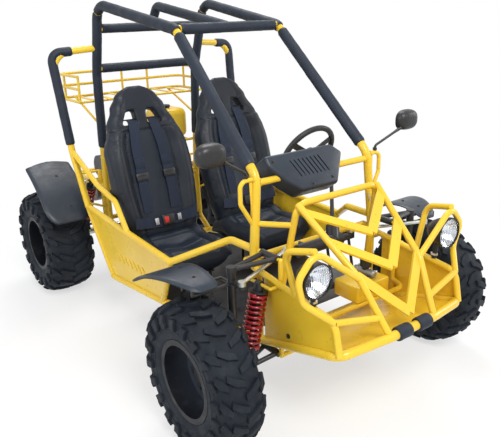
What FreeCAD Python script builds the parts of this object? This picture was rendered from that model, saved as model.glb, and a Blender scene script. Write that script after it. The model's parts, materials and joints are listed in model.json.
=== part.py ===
import FreeCAD, Part
import math
import os

from FreeCAD import Vector

os.makedirs("parts", exist_ok=True)

# Dune buggy, in millimetres. It faces -Y, its left side is +X and the ground is z = 0.
# A distance named "back" is measured rearwards from the front axle.

# Overall
overall_length = 2262.0
wheelbase = 1580.0
seat_gap = 0.3
cut_overrun = 4.0

# Front wheels
front_tyre_radius = 266.0
front_tyre_width = 172.0
front_half_track = 583.0
front_rim_half_width = 72.0
front_disc_inset = 22.0

# Rear wheels
rear_tyre_radius = 270.0
rear_tyre_width = 238.0
rear_half_track = 497.0
rear_rim_half_width = 100.0
rear_disc_inset = 40.0

# Tyre and rim sections
bead_radius = 127.0
flange_radius = 142.0
rim_wall = 4.0
tyre_crown_drop = 16.0
tread_width_share = 0.86
bulge_height_share = 0.45
disc_thickness = 6.0
hub_radius = 34.0
hub_inner_reach = 50.0
hub_outer_reach = 26.0
cap_radius = 26.0
cap_height = 12.0
wheel_bolt_count = 4
wheel_bolt_circle_radius = 55.0
wheel_nut_radius = 10.0
wheel_nut_height = 12.0
vent_count = 8
vent_circle_radius = 92.0
vent_radius = 11.0

# Frame tubes
main_tube_radius = 16.0
side_tube_radius = 14.0
light_tube_radius = 12.0
thin_rod_radius = 6.0
main_bend_radius = 90.0
tight_bend_radius = 45.0

# Roll cage
cage_tube_radius = 16.5
cage_branch_radius = 15.5
pad_thickness = 5.5
pad_gap = 0.3
cage_bend_radius = 85.0
cage_rear_top_x = 283.0
cage_rear_top_back = 1224.0
cage_rear_top_z = 1450.0
cage_waist_x = 276.0
cage_waist_back = 1325.0
cage_waist_z = 1130.0
cage_foot_x = 272.0
cage_foot_back = 1360.0
cage_foot_z = 560.0
cage_front_top_x = 252.0
cage_front_top_back = 599.0
cage_front_top_z = 1342.0
pillar_knee_x = 273.0
pillar_knee_back = 86.0
pillar_knee_z = 866.0
pillar_foot_back = 74.0
pillar_foot_z = 548.0
rear_cross_z = 1342.0
rear_waist_cross_z = 1160.0
roof_rise_back = 1190.0
roof_rise_z = 1436.0
pillar_pad_share = 0.93
rear_pad_end_share = 0.38

# Outer hoops beside the seats
hoop_root_z = 1257.0
hoop_corner_x = 491.0
hoop_corner_back = 1317.0
hoop_corner_z = 1241.0
hoop_foot_x = 470.0
hoop_foot_back = 1250.0
hoop_foot_z = 800.0
hoop_bare_length = 122.0

# Side rails and panels
rail_corner_x = 452.0
rail_corner_back = 1172.0
rail_corner_z = 540.0
apex_x = 450.0
apex_back = 409.0
apex_z = 500.0
front_rail_back = 211.0
front_rail_z = 612.0
arm_rest_back = 1034.0
arm_rest_z = 671.0
arm_rest_front_back = 864.0
arm_rest_front_z = 639.0
arm_rest_end_back = 765.0
side_stay_z = 655.0
panel_thickness = 3.0

# Lower frame
lower_rail_z = 215.0
lower_rear_x = 300.0
lower_rear_back = 1300.0
lower_wide_x = 415.0
lower_wide_back = 1040.0
lower_mid_x = 386.0
lower_mid_back = 614.0
lower_mid_z = 236.0
lower_split_back = 320.0
nose_x = 301.0
lower_nose_back = 14.0
lower_nose_z = 283.0
nose_bottom_back = -351.0
nose_bottom_z = 385.0
bumper_x = 105.0
bumper_z = 402.0
nose_top_back = -329.0
nose_top_z = 494.0
floor_thickness = 3.0
floor_front_back = 82.0

# Front suspension
tower_half_spacing = 58.0
tower_radius = 9.0
tower_x = 288.0
upper_arm_z = 610.0
lower_arm_inner_z = 250.0
king_pin_x = 450.0
upright_radius = 15.0
upright_low_z = 226.0
upright_high_z = 594.0
arm_tube_radius = 9.0
arm_socket_radius = 17.0
arm_socket_height = 22.0
arm_sleeve_radius = 13.0
arm_sleeve_length = 88.0
pin_radius = 6.0
spindle_radius = 12.0
spindle_collar_radius = 24.0
spindle_reach = 118.0
hub_running_gap = 5.0

# Steering linkage
steering_arm_forward = 66.0
steering_arm_out = 5.0
steering_arm_z = 562.0
steering_arm_thickness = 10.0
steering_arm_radius = 14.0
tie_rod_radius = 7.0
tie_rod_end_radius = 13.0
tie_rod_end_height = 16.0
rack_half_length = 165.0
rack_back = 60.0
rack_bar_radius = 10.0
rack_bar_drop = 1.5
rack_housing_radius = 24.0
rack_housing_half_length = 110.0
pinion_x = 70.0
pinion_radius = 26.0
pinion_height = 62.0
wheel_centre_x = 235.0
wheel_centre_back = 388.0
wheel_centre_z = 822.0
column_angle_deg = 28.0
wheel_rim_radius = 128.0
wheel_tube_radius = 12.0
wheel_hub_radius = 30.0
wheel_hub_height = 26.0
spoke_count = 3
spoke_width = 26.0
spoke_thickness = 6.0
column_radius = 11.0
column_length = 165.0
coupling_ball_radius = 13.0
coupling_cup_radius = 20.0
coupling_cup_length = 17.0
coupling_neck_radius = 8.0
column_bush_radius = 19.0
column_bush_length = 44.0
bush_stay_share = 0.75
column_stay_radius = 8.0

# Front fenders
fender_thickness = 4.0
fender_inner_x = 505.0
fender_outer_x = 694.0
fender_front_back = -25.0
fender_front_z = 566.0
fender_top_back = 120.0
fender_top_z = 600.0
fender_rear_back = 245.0
fender_rear_z = 552.0
fender_rod_radius = 6.0
fender_rod_spacing = 60.0
fender_rod_z = 556.0

# Dash frame and hood guard
dash_cross_z = 846.0
dash_post_foot_x = 235.0
dash_link_radius = 10.0
hood_top_x = 194.0
hood_top_back = -36.0
hood_top_z = 782.0
link_z = 705.0
hood_leg_mid_x = 149.0
hood_leg_mid_back = -284.0
hood_leg_mid_z = 580.0
hood_leg_foot_x = 110.0
chevron_width = 34.0
chevron_thickness = 9.0
chevron_one_share = 0.12
chevron_two_share = 0.52
chevron_three_share = 0.96
chevron_one_back = -196.0
chevron_one_z = 681.0
chevron_two_back = -289.0
chevron_two_z = 587.0
chevron_three_back = -370.0
chevron_three_z = 450.0

# Lamps and their guards
lamp_x = 321.0
lamp_back = -277.0
lamp_z = 621.0
lamp_radius = 58.0
lens_radius = 53.0
lens_bulge = 12.0
lamp_depth = 86.0
lamp_rear_radius = 26.0
lamp_stem_radius = 9.0
guard_tube_radius = 11.0
guard_run_share = 0.66
guard_corner_x = 372.0
guard_corner_back = -262.0
guard_corner_z = 556.0
guard_side_x = 398.0
guard_side_back = -268.0
guard_side_z = 640.0
guard_top_x = 331.0
guard_top_back = -272.0
guard_top_z = 718.0
rear_guard_back = -150.0
rear_guard_x = 352.0
rear_guard_z = 690.0

# Bumper sleeves
bumper_pad_length = 62.0
bumper_pad_middle_x = 50.0
bumper_pad_radius = 24.0

# Dash cowl
cowl_half_width = 132.0
cowl_front_back = 120.0
cowl_rear_back = 300.0
cowl_low_z = 726.0
cowl_mid_z = 800.0
cowl_high_z = 876.0
cowl_wall = 4.0

# Pedals
pedal_shaft_back = 118.0
pedal_shaft_z = 330.0
pedal_right_x = 130.0
pedal_left_x = 288.0
pedal_arm_height = 190.0
pedal_arm_lean = 40.0
pedal_pad_width = 70.0
pedal_pad_height = 60.0
pedal_pad_thickness = 10.0

# Seats
seat_x = 233.0
seat_recline_deg = 16.0
seat_back_low_back = 812.0
seat_back_length = 690.0
seat_back_thickness = 85.0
seat_back_low_half = 190.0
seat_back_shoulder_half = 212.0
seat_back_head_half = 118.0
seat_shoulder_share = 0.58
seat_head_share = 0.90
seat_hole_share = 0.80
seat_hole_offset = 52.0
seat_hole_half = 30.0
seat_hole_height = 44.0
cushion_front_back = 548.0
cushion_half_width = 185.0
cushion_low_half = 148.0
cushion_low_z = 330.0
cushion_rear_z = 425.0
cushion_front_z = 452.0
stand_bar_width = 26.0
stand_bar_thickness = 6.0
strap_width = 50.0
strap_thickness = 4.0
strap_offset = 66.0
strap_low_share = 0.10

# Mirrors
mirror_base_z = 832.0
mirror_loop_x = 347.0
mirror_loop_z = 854.0
mirror_x = 468.0
mirror_back = 59.0
mirror_z = 975.0
mirror_half_width = 54.0
mirror_half_height = 40.0
mirror_depth = 40.0
mirror_lip = 14.0
mirror_depth_shares = [0.0, 0.45, 0.8, 1.0]
mirror_width_shares = [1.0, 0.97, 0.78, 0.42]
mirror_stem_radius = 5.0

# Rear frame, swing arm and axle
rear_end_back = 1760.0
rear_drop_z = 380.0
swing_pivot_back = 1345.0
swing_pivot_z = 300.0
swing_arm_x = 232.0
swing_sleeve_radius = 20.0
axle_radius = 17.0
bearing_radius = 36.0
bearing_length = 50.0
axle_fit_gap = 0.3
sprocket_x = 60.0
sprocket_radius = 92.0
sprocket_thickness = 7.0
brake_disc_x = -70.0
brake_disc_radius = 98.0
brake_disc_thickness = 5.0
axle_hub_radius = 30.0
axle_hub_length = 46.0

# Shock absorbers
shock_body_radius = 17.0
shock_rod_radius = 8.0
shock_eye_radius = 13.0
shock_eye_width = 24.0
spring_radius = 30.0
spring_wire_radius = 5.0
spring_seat_thickness = 5.0
spring_turn_count = 8
front_shock_top_x = 335.0
front_shock_top_z = 520.0
front_shock_foot_x = 392.0
front_shock_foot_z = 262.0
rear_shock_x = 326.0
rear_shock_top_back = 1430.0
rear_shock_top_z = 590.0
rear_shock_foot_back = 1618.0
rear_shock_foot_z = 296.0

# Engine
engine_x = 10.0
engine_half_width = 95.0
engine_front_back = 1420.0
engine_rear_back = 1560.0
engine_low_z = 385.0
cylinder_radius = 62.0
cylinder_length = 120.0
cylinder_z = 460.0
case_thickness = 52.0
case_radius = 88.0
case_length = 250.0
case_z = 400.0
muffler_back = 1700.0
muffler_z = 455.0
muffler_radius = 55.0
muffler_half_length = 150.0
muffler_x = -60.0
pipe_radius = 15.0
pipe_drop_z = 350.0
pipe_side_x = -120.0
pipe_low_back = 1440.0
pipe_rise_back = 1540.0
pipe_high_z = 440.0
engine_mount_z = 382.0
engine_mount_rear_back = 1540.0
cleaner_x = -160.0
cleaner_half_length = 70.0
cleaner_radius = 60.0
drive_back = 1450.0
drive_z = 306.0
drive_radius = 30.0
chain_thickness = 12.0
chain_height = 11.0

# Fuel tank
tank_x = 165.0
tank_half_width = 92.0
tank_front_back = 1390.0
tank_rear_back = 1560.0
tank_low_z = 752.3
tank_shelf_half = 60.0
tank_high_z = 910.0
tank_corner_radius = 35.0

# Luggage rack
rack_half_width = 350.0
basket_front_back = 1385.0
basket_rear_back = 1640.0
basket_low_z = 1000.0
basket_mid_z = 1062.0
basket_high_z = 1122.0
basket_rod_radius = 7.0
basket_stay_radius = 6.0
basket_arm_radius = 8.0
basket_slat_count = 7
basket_slat_width = 20.0
basket_slat_thickness = 5.0
basket_corner_share = 0.72
basket_brace_z = 880.0

# Rear fenders
rear_fender_inner_x = 392.0
rear_fender_outer_x = 622.0
rear_fender_radius = 318.0
rear_fender_thickness = 4.0
rear_fender_start_deg = 28.0
rear_fender_end_deg = 128.0
fender_rod_shares = [0.02, -0.30]

front_axle_y = overall_length / 2 - rear_tyre_radius - wheelbase
rear_axle_y = front_axle_y + wheelbase
bumper_back = bumper_pad_radius - overall_length / 2 - front_axle_y
seat_recline = math.radians(seat_recline_deg)
seat_back_low_z = cushion_rear_z + seat_gap + seat_back_thickness * math.sin(seat_recline)
cushion_rear_back = seat_back_low_back + seat_back_thickness * math.cos(seat_recline)
pad_outer_radius = cage_tube_radius + pad_gap + pad_thickness
X_AXIS = Vector(1, 0, 0)
Y_AXIS = Vector(0, 1, 0)
Z_AXIS = Vector(0, 0, 1)
ORIGIN = Vector(0, 0, 0)


def at(x, back, z):
    return Vector(x, front_axle_y + back, z)


def between(first, last, share):
    return first + (last - first) * share


def mirrored(shape):
    return shape.mirror(ORIGIN, X_AXIS)


def both_sides(shape):
    return [shape, mirrored(shape)]


def flipped(point):
    return Vector(-point.x, point.y, point.z)


def fused(shapes):
    solids = [solid for shape in shapes for solid in shape.Solids]
    if len(solids) == 1:
        return solids[0]
    whole = solids[0].multiFuse(solids[1:])
    return whole.Solids[0] if len(whole.Solids) == 1 else whole


def bent_path(points, bend_radius):
    edges = []
    start = points[0]
    for before, corner, after in zip(points, points[1:], points[2:]):
        into = Vector(corner - before).normalize()
        out = Vector(after - corner).normalize()
        turn = into.getAngle(out)
        reach = bend_radius * math.tan(turn / 2)
        reach = min(reach, (corner - before).Length * 0.46, (after - corner).Length * 0.46)
        radius = reach / math.tan(turn / 2)
        bisector = Vector(out - into).normalize()
        middle = corner + bisector * (radius / math.cos(turn / 2) - radius)
        arc_start = corner - into * reach
        arc_end = corner + out * reach
        edges.append(Part.LineSegment(start, arc_start).toShape())
        edges.append(Part.Arc(arc_start, middle, arc_end).toShape())
        start = arc_end
    edges.append(Part.LineSegment(start, points[-1]).toShape())
    return Part.Wire(edges)


def outward(shape):
    solid = shape.Solids[0]
    if solid.Volume < 0:
        solid.reverse()
    return solid


def spun(edges, axis):
    return outward(Part.Face(Part.Wire(edges)).revolve(ORIGIN, axis, 360))


def tube(points, radius, bend_radius=tight_bend_radius):
    if len(points) == 2:
        run = points[1] - points[0]
        return Part.makeCylinder(radius, run.Length, points[0], run)
    path = bent_path(points, bend_radius)
    section = Part.Face(Part.Wire(Part.makeCircle(radius, points[0], points[1] - points[0])))
    return outward(path.makePipe(section))


def ball(centre, radius):
    return Part.makeSphere(radius, centre)


def rod_along_x(radius, first_x, last_x, y, z):
    return Part.makeCylinder(radius, last_x - first_x, Vector(first_x, y, z), X_AXIS)


def slab(corners, depth):
    return Part.Face(Part.makePolygon(corners + corners[:1])).extrude(depth)


def bar(first, last, width, thickness, normal):
    along = Vector(last - first).normalize()
    across = Vector(along.cross(normal)).normalize() * (width / 2)
    up = Vector(across.cross(along)).normalize() * thickness
    corners = [first - across, last - across, last + across, first + across]
    corners = [corner - up * 0.5 for corner in corners]
    return slab(corners, up)


# Wheels

def tyre(radius, width, rim_half_width):
    bead_x = rim_half_width - rim_wall - seat_gap
    bead_r = bead_radius + seat_gap
    wall_r = flange_radius + seat_gap
    shoulder_x = width / 2 * tread_width_share
    shoulder_r = radius - tyre_crown_drop
    bulge_r = wall_r + (shoulder_r - wall_r) * bulge_height_share
    lip_x = bead_x
    points = {
        "left_bead": Vector(-bead_x, 0, bead_r),
        "right_bead": Vector(bead_x, 0, bead_r),
        "right_lip": Vector(lip_x, 0, wall_r),
        "right_bulge": Vector(width / 2, 0, bulge_r),
        "right_shoulder": Vector(shoulder_x, 0, shoulder_r),
        "crown": Vector(0, 0, radius),
        "left_shoulder": Vector(-shoulder_x, 0, shoulder_r),
        "left_bulge": Vector(-width / 2, 0, bulge_r),
        "left_lip": Vector(-lip_x, 0, wall_r),
    }
    edges = [
        Part.LineSegment(points["left_bead"], points["right_bead"]).toShape(),
        Part.LineSegment(points["right_bead"], points["right_lip"]).toShape(),
        Part.Arc(points["right_lip"], points["right_bulge"], points["right_shoulder"]).toShape(),
        Part.Arc(points["right_shoulder"], points["crown"], points["left_shoulder"]).toShape(),
        Part.Arc(points["left_shoulder"], points["left_bulge"], points["left_lip"]).toShape(),
        Part.LineSegment(points["left_lip"], points["left_bead"]).toShape(),
    ]
    return spun(edges, X_AXIS)


def rim(rim_half_width, disc_x, bore_radius):
    inner = bead_radius - rim_wall
    corners = [
        Vector(-rim_half_width, 0, inner),
        Vector(-rim_half_width, 0, flange_radius),
        Vector(-rim_half_width + rim_wall, 0, flange_radius),
        Vector(-rim_half_width + rim_wall, 0, bead_radius),
        Vector(rim_half_width - rim_wall, 0, bead_radius),
        Vector(rim_half_width - rim_wall, 0, flange_radius),
        Vector(rim_half_width, 0, flange_radius),
        Vector(rim_half_width, 0, inner),
    ]
    barrel = spun(Part.makePolygon(corners + corners[:1]).Edges, X_AXIS)
    disc = rod_along_x(inner + rim_wall / 2, disc_x, disc_x + disc_thickness, 0, 0)
    for index in range(vent_count):
        angle = 2 * math.pi * (index + 0.5) / vent_count
        y = vent_circle_radius * math.cos(angle)
        z = vent_circle_radius * math.sin(angle)
        hole = rod_along_x(vent_radius, disc_x - cut_overrun, disc_x + disc_thickness + cut_overrun, y, z)
        disc = disc.cut(hole)
    hub = rod_along_x(hub_radius, disc_x - hub_inner_reach, disc_x + hub_outer_reach, 0, 0)
    cap = rod_along_x(cap_radius, disc_x + hub_outer_reach, disc_x + hub_outer_reach + cap_height, 0, 0)
    pieces = [barrel, disc, hub, cap]
    for index in range(wheel_bolt_count):
        angle = 2 * math.pi * (index + 0.5) / wheel_bolt_count
        y = wheel_bolt_circle_radius * math.cos(angle)
        z = wheel_bolt_circle_radius * math.sin(angle)
        start = disc_x + disc_thickness / 2
        pieces.append(rod_along_x(wheel_nut_radius, start, start + disc_thickness / 2 + wheel_nut_height, y, z))
    body = fused(pieces)
    bore_start = disc_x - hub_inner_reach - cut_overrun
    bore = rod_along_x(bore_radius, bore_start, disc_x + hub_outer_reach, 0, 0)
    return body.cut(bore)


def front_tyre():
    return tyre(front_tyre_radius, front_tyre_width, front_rim_half_width)


def placed_front(shape):
    return shape.translated(Vector(front_half_track, front_axle_y, front_tyre_radius))


def placed_rear(shape):
    return shape.translated(Vector(rear_half_track, rear_axle_y, rear_tyre_radius))


def front_rim():
    return rim(front_rim_half_width, -front_disc_inset, spindle_radius + axle_fit_gap)


def rear_rim():
    return rim(rear_rim_half_width, -rear_disc_inset, axle_radius + seat_gap)


# Knuckle with its spindle and steering arm, drawn for the left side

def hub_inner_x():
    return front_half_track - front_disc_inset - hub_inner_reach


def knuckle():
    axle_z = front_tyre_radius
    upright = tube([at(king_pin_x, 0, upright_low_z), at(king_pin_x, 0, upright_high_z)], upright_radius)
    spindle_end = front_half_track - front_disc_inset + hub_outer_reach - hub_running_gap
    spindle = rod_along_x(spindle_radius, king_pin_x, spindle_end, front_axle_y, axle_z)
    collar_end = hub_inner_x() - hub_running_gap
    collar = rod_along_x(spindle_collar_radius, king_pin_x, collar_end, front_axle_y, axle_z)
    arm_low = steering_arm_z
    ball_seat = steering_ball(arm_low)
    pad = Part.makeCylinder(steering_arm_radius, steering_arm_thickness, ball_seat, Z_AXIS)
    arm_middle = arm_low + steering_arm_thickness / 2
    arm = bar(at(king_pin_x, 0, arm_middle), steering_ball(arm_middle),
              steering_arm_radius * 1.6, steering_arm_thickness, Z_AXIS)
    stays = [fender_stay(back) for back in fender_stay_backs()]
    spine = tube([at(king_pin_x, 0, fender_rod_z), at(king_pin_x, fender_rod_spacing, fender_rod_z)],
                 fender_rod_radius)
    body = fused([upright, spindle, collar, pad, arm, spine] + stays)
    return body.cut(front_fender(seat_gap))


def fender_stay_backs():
    return [0, fender_rod_spacing]


def fender_stay(back):
    middle_x = (fender_inner_x + fender_outer_x) / 2
    under = fender_height(back) - fender_thickness / 2
    foot = at(king_pin_x, back, fender_rod_z)
    turn = at(middle_x, back, fender_rod_z)
    top = at(middle_x, back, under)
    return fused([tube([foot, turn], fender_rod_radius), ball(turn, fender_rod_radius),
                  tube([turn, top], fender_rod_radius)])


def steering_ball(z):
    return at(king_pin_x + steering_arm_out, -steering_arm_forward, z)


def fender_arc_points():
    return [
        at(0, fender_front_back, fender_front_z),
        at(0, fender_top_back, fender_top_z),
        at(0, fender_rear_back, fender_rear_z),
    ]


def fender_height(back):
    circle = Part.Circle(*fender_arc_points())
    centre = circle.Center
    offset = front_axle_y + back - centre.y
    return centre.z + math.sqrt(circle.Radius ** 2 - offset ** 2)


def front_fender(grow=0.0):
    arc = Part.Arc(*fender_arc_points()).toShape()
    strip = arc.extrude(X_AXIS * (fender_outer_x - fender_inner_x))
    strip.translate(X_AXIS * fender_inner_x - Z_AXIS * (fender_thickness / 2 + grow))
    return strip.extrude(Z_AXIS * (fender_thickness + 2 * grow))


# Tie rod, rack and column

def rack_z():
    return steering_arm_z + steering_arm_thickness + seat_gap + tie_rod_end_height / 2


def tie_rod():
    low = steering_arm_z + steering_arm_thickness + seat_gap
    outer = steering_ball(low)
    inner = at(rack_half_length, rack_back, low)
    ends = [Part.makeCylinder(tie_rod_end_radius, tie_rod_end_height, outer, Z_AXIS),
            Part.makeCylinder(tie_rod_end_radius, tie_rod_end_height, inner, Z_AXIS)]
    shank = tube([steering_ball(rack_z()), at(rack_half_length, rack_back, rack_z())], tie_rod_radius)
    return fused(ends + [shank])


def rack_bar_z():
    return steering_arm_z + steering_arm_thickness - rack_bar_radius - rack_bar_drop


def rack_bar():
    z = rack_bar_z()
    y = front_axle_y + rack_back
    bar_body = rod_along_x(rack_bar_radius, -rack_half_length, rack_half_length, y, z)
    pads = []
    for x in (-rack_half_length, rack_half_length):
        pads.append(Part.makeCylinder(tie_rod_end_radius, steering_arm_thickness,
                                      at(x, rack_back, steering_arm_z), Z_AXIS))
    return fused([bar_body] + pads)


def column_axis():
    angle = math.radians(column_angle_deg)
    return Vector(0, math.cos(angle), math.sin(angle))


def wheel_centre():
    return at(wheel_centre_x, wheel_centre_back, wheel_centre_z)


def coupling_point():
    return wheel_centre() - column_axis() * column_length


def pinion_point():
    return at(pinion_x, rack_back, rack_bar_z())


def shaft_axis():
    return Vector(coupling_point() - pinion_point()).normalize()


def steering_wheel():
    centre = wheel_centre()
    axis = column_axis()
    hoop = Part.makeTorus(wheel_rim_radius, wheel_tube_radius, centre, axis)
    hub = Part.makeCylinder(wheel_hub_radius, wheel_hub_height, centre - axis * wheel_hub_height, axis)
    pieces = [hoop, hub]
    hub_middle = centre - axis * (wheel_hub_height / 2)
    for index in range(spoke_count):
        angle = 360.0 * index / spoke_count
        down = Vector(0, axis.z, -axis.y)
        spin = FreeCAD.Rotation(axis, angle)
        direction = spin.multVec(down)
        pieces.append(bar(hub_middle, centre + direction * wheel_rim_radius, spoke_width, spoke_thickness, axis))
    column_end = coupling_point() + axis * coupling_cup_length
    column = tube([column_end, centre - axis * (wheel_hub_height / 2)], column_radius)
    cup = Part.makeCylinder(coupling_cup_radius, coupling_cup_length + wheel_hub_height / 2,
                            coupling_point(), axis)
    body = fused(pieces + [column, cup])
    return body.cut(ball(coupling_point(), coupling_ball_radius + axle_fit_gap))


def steering_shaft():
    top = coupling_point()
    foot = pinion_point() + shaft_axis() * (pinion_height + hub_running_gap)
    return fused([ball(top, coupling_ball_radius), tube([foot, top], coupling_neck_radius)])


def rack_housing():
    y = front_axle_y + rack_back
    z = rack_bar_z()
    shell = rod_along_x(rack_housing_radius, -rack_housing_half_length, rack_housing_half_length, y, z)
    tower = Part.makeCylinder(pinion_radius, pinion_height, pinion_point(), shaft_axis())
    feet = []
    for x in (-rack_housing_half_length / 2, rack_housing_half_length / 2):
        feet.append(tube([at(x, rack_back, z), at(x, tower_half_spacing + rack_back, z)], light_tube_radius))
    body = fused([shell, tower] + feet)
    bore = rod_along_x(rack_bar_radius + axle_fit_gap, -rack_half_length, rack_half_length, y, z)
    return body.cut(bore).cut(rack_beam(seat_gap))


def rack_beam(grow):
    z = rack_bar_z()
    back = tower_half_spacing + rack_back
    end = at(nose_x, back, z)
    pieces = [tube([flipped(end), end], light_tube_radius + grow)]
    pieces += both_sides(tube([end, pillar_at(z)], light_tube_radius + grow))
    pieces += both_sides(ball(end, light_tube_radius + grow))
    return fused(pieces)


# Frames

def lower_rail_points():
    return [
        at(lower_rear_x, lower_rear_back, lower_rail_z),
        at(lower_wide_x, lower_wide_back, lower_rail_z),
        at(lower_mid_x, lower_mid_back, lower_mid_z),
        lower_split_point(),
    ]


def lower_split_point():
    share = (lower_mid_back - lower_split_back) / (lower_mid_back - lower_nose_back)
    return between(at(lower_mid_x, lower_mid_back, lower_mid_z),
                   at(nose_x, lower_nose_back, lower_nose_z), share)


def main_frame(grow=0.0):
    radius = main_tube_radius + grow
    rail = tube(lower_rail_points(), radius)
    rear = at(lower_rear_x, lower_rear_back, lower_rail_z)
    wide = at(lower_wide_x, lower_wide_back, lower_rail_z)
    middle = at(lower_mid_x, lower_mid_back, lower_mid_z)
    pieces = both_sides(rail)
    for point in (rear, wide, middle):
        pieces.append(tube([flipped(point), point], radius))
    pieces += both_sides(ball(rear, radius))
    return fused(pieces)


def nose_loop(grow):
    right_side = [
        lower_split_point(),
        at(nose_x, lower_nose_back, lower_nose_z),
        at(nose_x, nose_bottom_back, nose_bottom_z),
        at(bumper_x, bumper_back, bumper_z),
    ]
    points = right_side + [flipped(point) for point in reversed(right_side)]
    return tube(points, main_tube_radius + grow)


def nose_top_point():
    return at(nose_x, nose_top_back, nose_top_z)


def nose_upright(grow):
    foot = at(nose_x, nose_bottom_back, nose_bottom_z)
    top = nose_top_point()
    rear = at(nose_x, pillar_foot_back, pillar_foot_z)
    return tube([foot, top, rear], light_tube_radius + grow, tight_bend_radius)


def tower(grow):
    pieces = []
    for offset in (-tower_half_spacing, tower_half_spacing):
        foot = at(tower_x, offset, lower_arm_inner_z)
        head = at(tower_x, offset, upper_arm_z)
        pieces.append(tube([foot, head], tower_radius + grow))
        pieces.append(ball(foot, tower_radius + grow))
        pieces.append(ball(head, tower_radius + grow))
    for x, z in tower_pins():
        low = at(x, -tower_half_spacing, z)
        high = at(x, tower_half_spacing, z)
        pieces.append(tube([low, high], pin_radius + grow))
    for offset in (-tower_half_spacing, tower_half_spacing):
        hanger = tube([at(tower_x, offset, front_shock_top_z), at(front_shock_top_x, offset, front_shock_top_z)],
                      pin_radius + grow)
        pieces += [hanger, ball(at(front_shock_top_x, offset, front_shock_top_z), pin_radius + grow)]
    return fused(pieces)


def tower_pins():
    return [(tower_x, lower_arm_inner_z), (tower_x, upper_arm_z), (front_shock_top_x, front_shock_top_z)]


def front_frame(grow=0.0):
    pieces = [nose_loop(grow)]
    pieces += both_sides(nose_upright(grow))
    pieces += both_sides(tower(grow))
    for offset in (-tower_half_spacing, tower_half_spacing):
        low = at(tower_x, offset, lower_arm_inner_z)
        pieces.append(tube([flipped(low), low], tower_radius + grow))
    return fused(pieces)


def cage_side_points():
    return [
        at(cage_foot_x, cage_foot_back, cage_foot_z),
        at(cage_waist_x, cage_waist_back, cage_waist_z),
        at(cage_rear_top_x, cage_rear_top_back, cage_rear_top_z),
        at(cage_front_top_x, cage_front_top_back, cage_front_top_z),
        at(pillar_knee_x, pillar_knee_back, pillar_knee_z),
        at(nose_x, pillar_foot_back, pillar_foot_z),
    ]


def cage_side(grow=0.0):
    return tube(cage_side_points(), cage_tube_radius + grow, cage_bend_radius)


def post_at(z):
    foot, waist, top = cage_side_points()[:3]
    if z < waist.z:
        return between(foot, waist, (z - foot.z) / (waist.z - foot.z))
    return between(waist, top, (z - waist.z) / (top.z - waist.z))


def pillar_at(z):
    knee, foot = cage_side_points()[4:]
    return between(foot, knee, (z - foot.z) / (knee.z - foot.z))


def roof_points():
    start = post_at(rear_cross_z)
    front = cage_side_points()[3]
    return [Vector(0, start.y, start.z), at(0, roof_rise_back, roof_rise_z), Vector(0, front.y, front.z)]


def cage_cross_lines():
    lines = []
    for point in (post_at(rear_cross_z), post_at(rear_waist_cross_z), cage_side_points()[3]):
        lines.append([flipped(point), point])
    return lines


def cage_cross_tubes(grow=0.0):
    radius = cage_branch_radius + grow
    pieces = [tube(line, radius) for line in cage_cross_lines()]
    pieces.append(tube(roof_points(), radius, tight_bend_radius))
    return fused(pieces)


def hoop_points():
    return [
        post_at(hoop_root_z),
        at(hoop_corner_x, hoop_corner_back, hoop_corner_z),
        at(hoop_foot_x, hoop_foot_back, hoop_foot_z),
        at(rail_corner_x, rail_corner_back, rail_corner_z),
    ]


def outer_hoop(grow=0.0):
    return tube(hoop_points(), cage_branch_radius + grow, cage_bend_radius)


def hoop_at(z):
    foot, corner = hoop_points()[2:]
    return between(foot, corner, (z - foot.z) / (corner.z - foot.z))


def sleeve(points, core_radius, bend_radius):
    skin = tube(points, core_radius + pad_gap + pad_thickness, bend_radius)
    return skin.cut(tube(points, core_radius + pad_gap, bend_radius))


def cage_pads():
    side = cage_side_points()
    top_pad = [between(side[0], side[1], rear_pad_end_share), side[1], side[2], side[3],
               between(side[3], side[4], pillar_pad_share)]
    hoop = hoop_points()
    hoop_run = Vector(hoop[1] - hoop[0]).normalize()
    hoop_pad = [hoop[0], hoop[1], between(hoop[1], hoop[2], pillar_pad_share)]
    bare_end = hoop[0] + hoop_run * hoop_bare_length
    bare = tube([hoop[0] - hoop_run * hoop_bare_length, bare_end], pad_outer_radius + cut_overrun)
    crossing = cage_cross_tubes(pad_gap)
    hoops = both_sides(outer_hoop(pad_gap))
    sides = []
    for pad in both_sides(sleeve(top_pad, cage_tube_radius, cage_bend_radius)):
        sides.append(pad.cut(crossing).cut(hoops[0]).cut(hoops[1]))
    pads = sides + both_sides(largest(sleeve(hoop_pad, cage_branch_radius, cage_bend_radius).cut(bare)))
    side_skins = [tube(side, pad_outer_radius + pad_gap, cage_bend_radius)]
    side_skins.append(mirrored(side_skins[0]))
    cores = cage_cross_tubes(pad_gap)
    branch_pad_radius = cage_branch_radius + pad_gap + pad_thickness
    skins = [tube(line, branch_pad_radius) for line in cage_cross_lines()]
    skins.append(tube(roof_points(), branch_pad_radius, tight_bend_radius))
    cross = fused(skins).cut(cores).cut(side_skins[0]).cut(side_skins[1])
    return pads + cross.Solids


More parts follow.
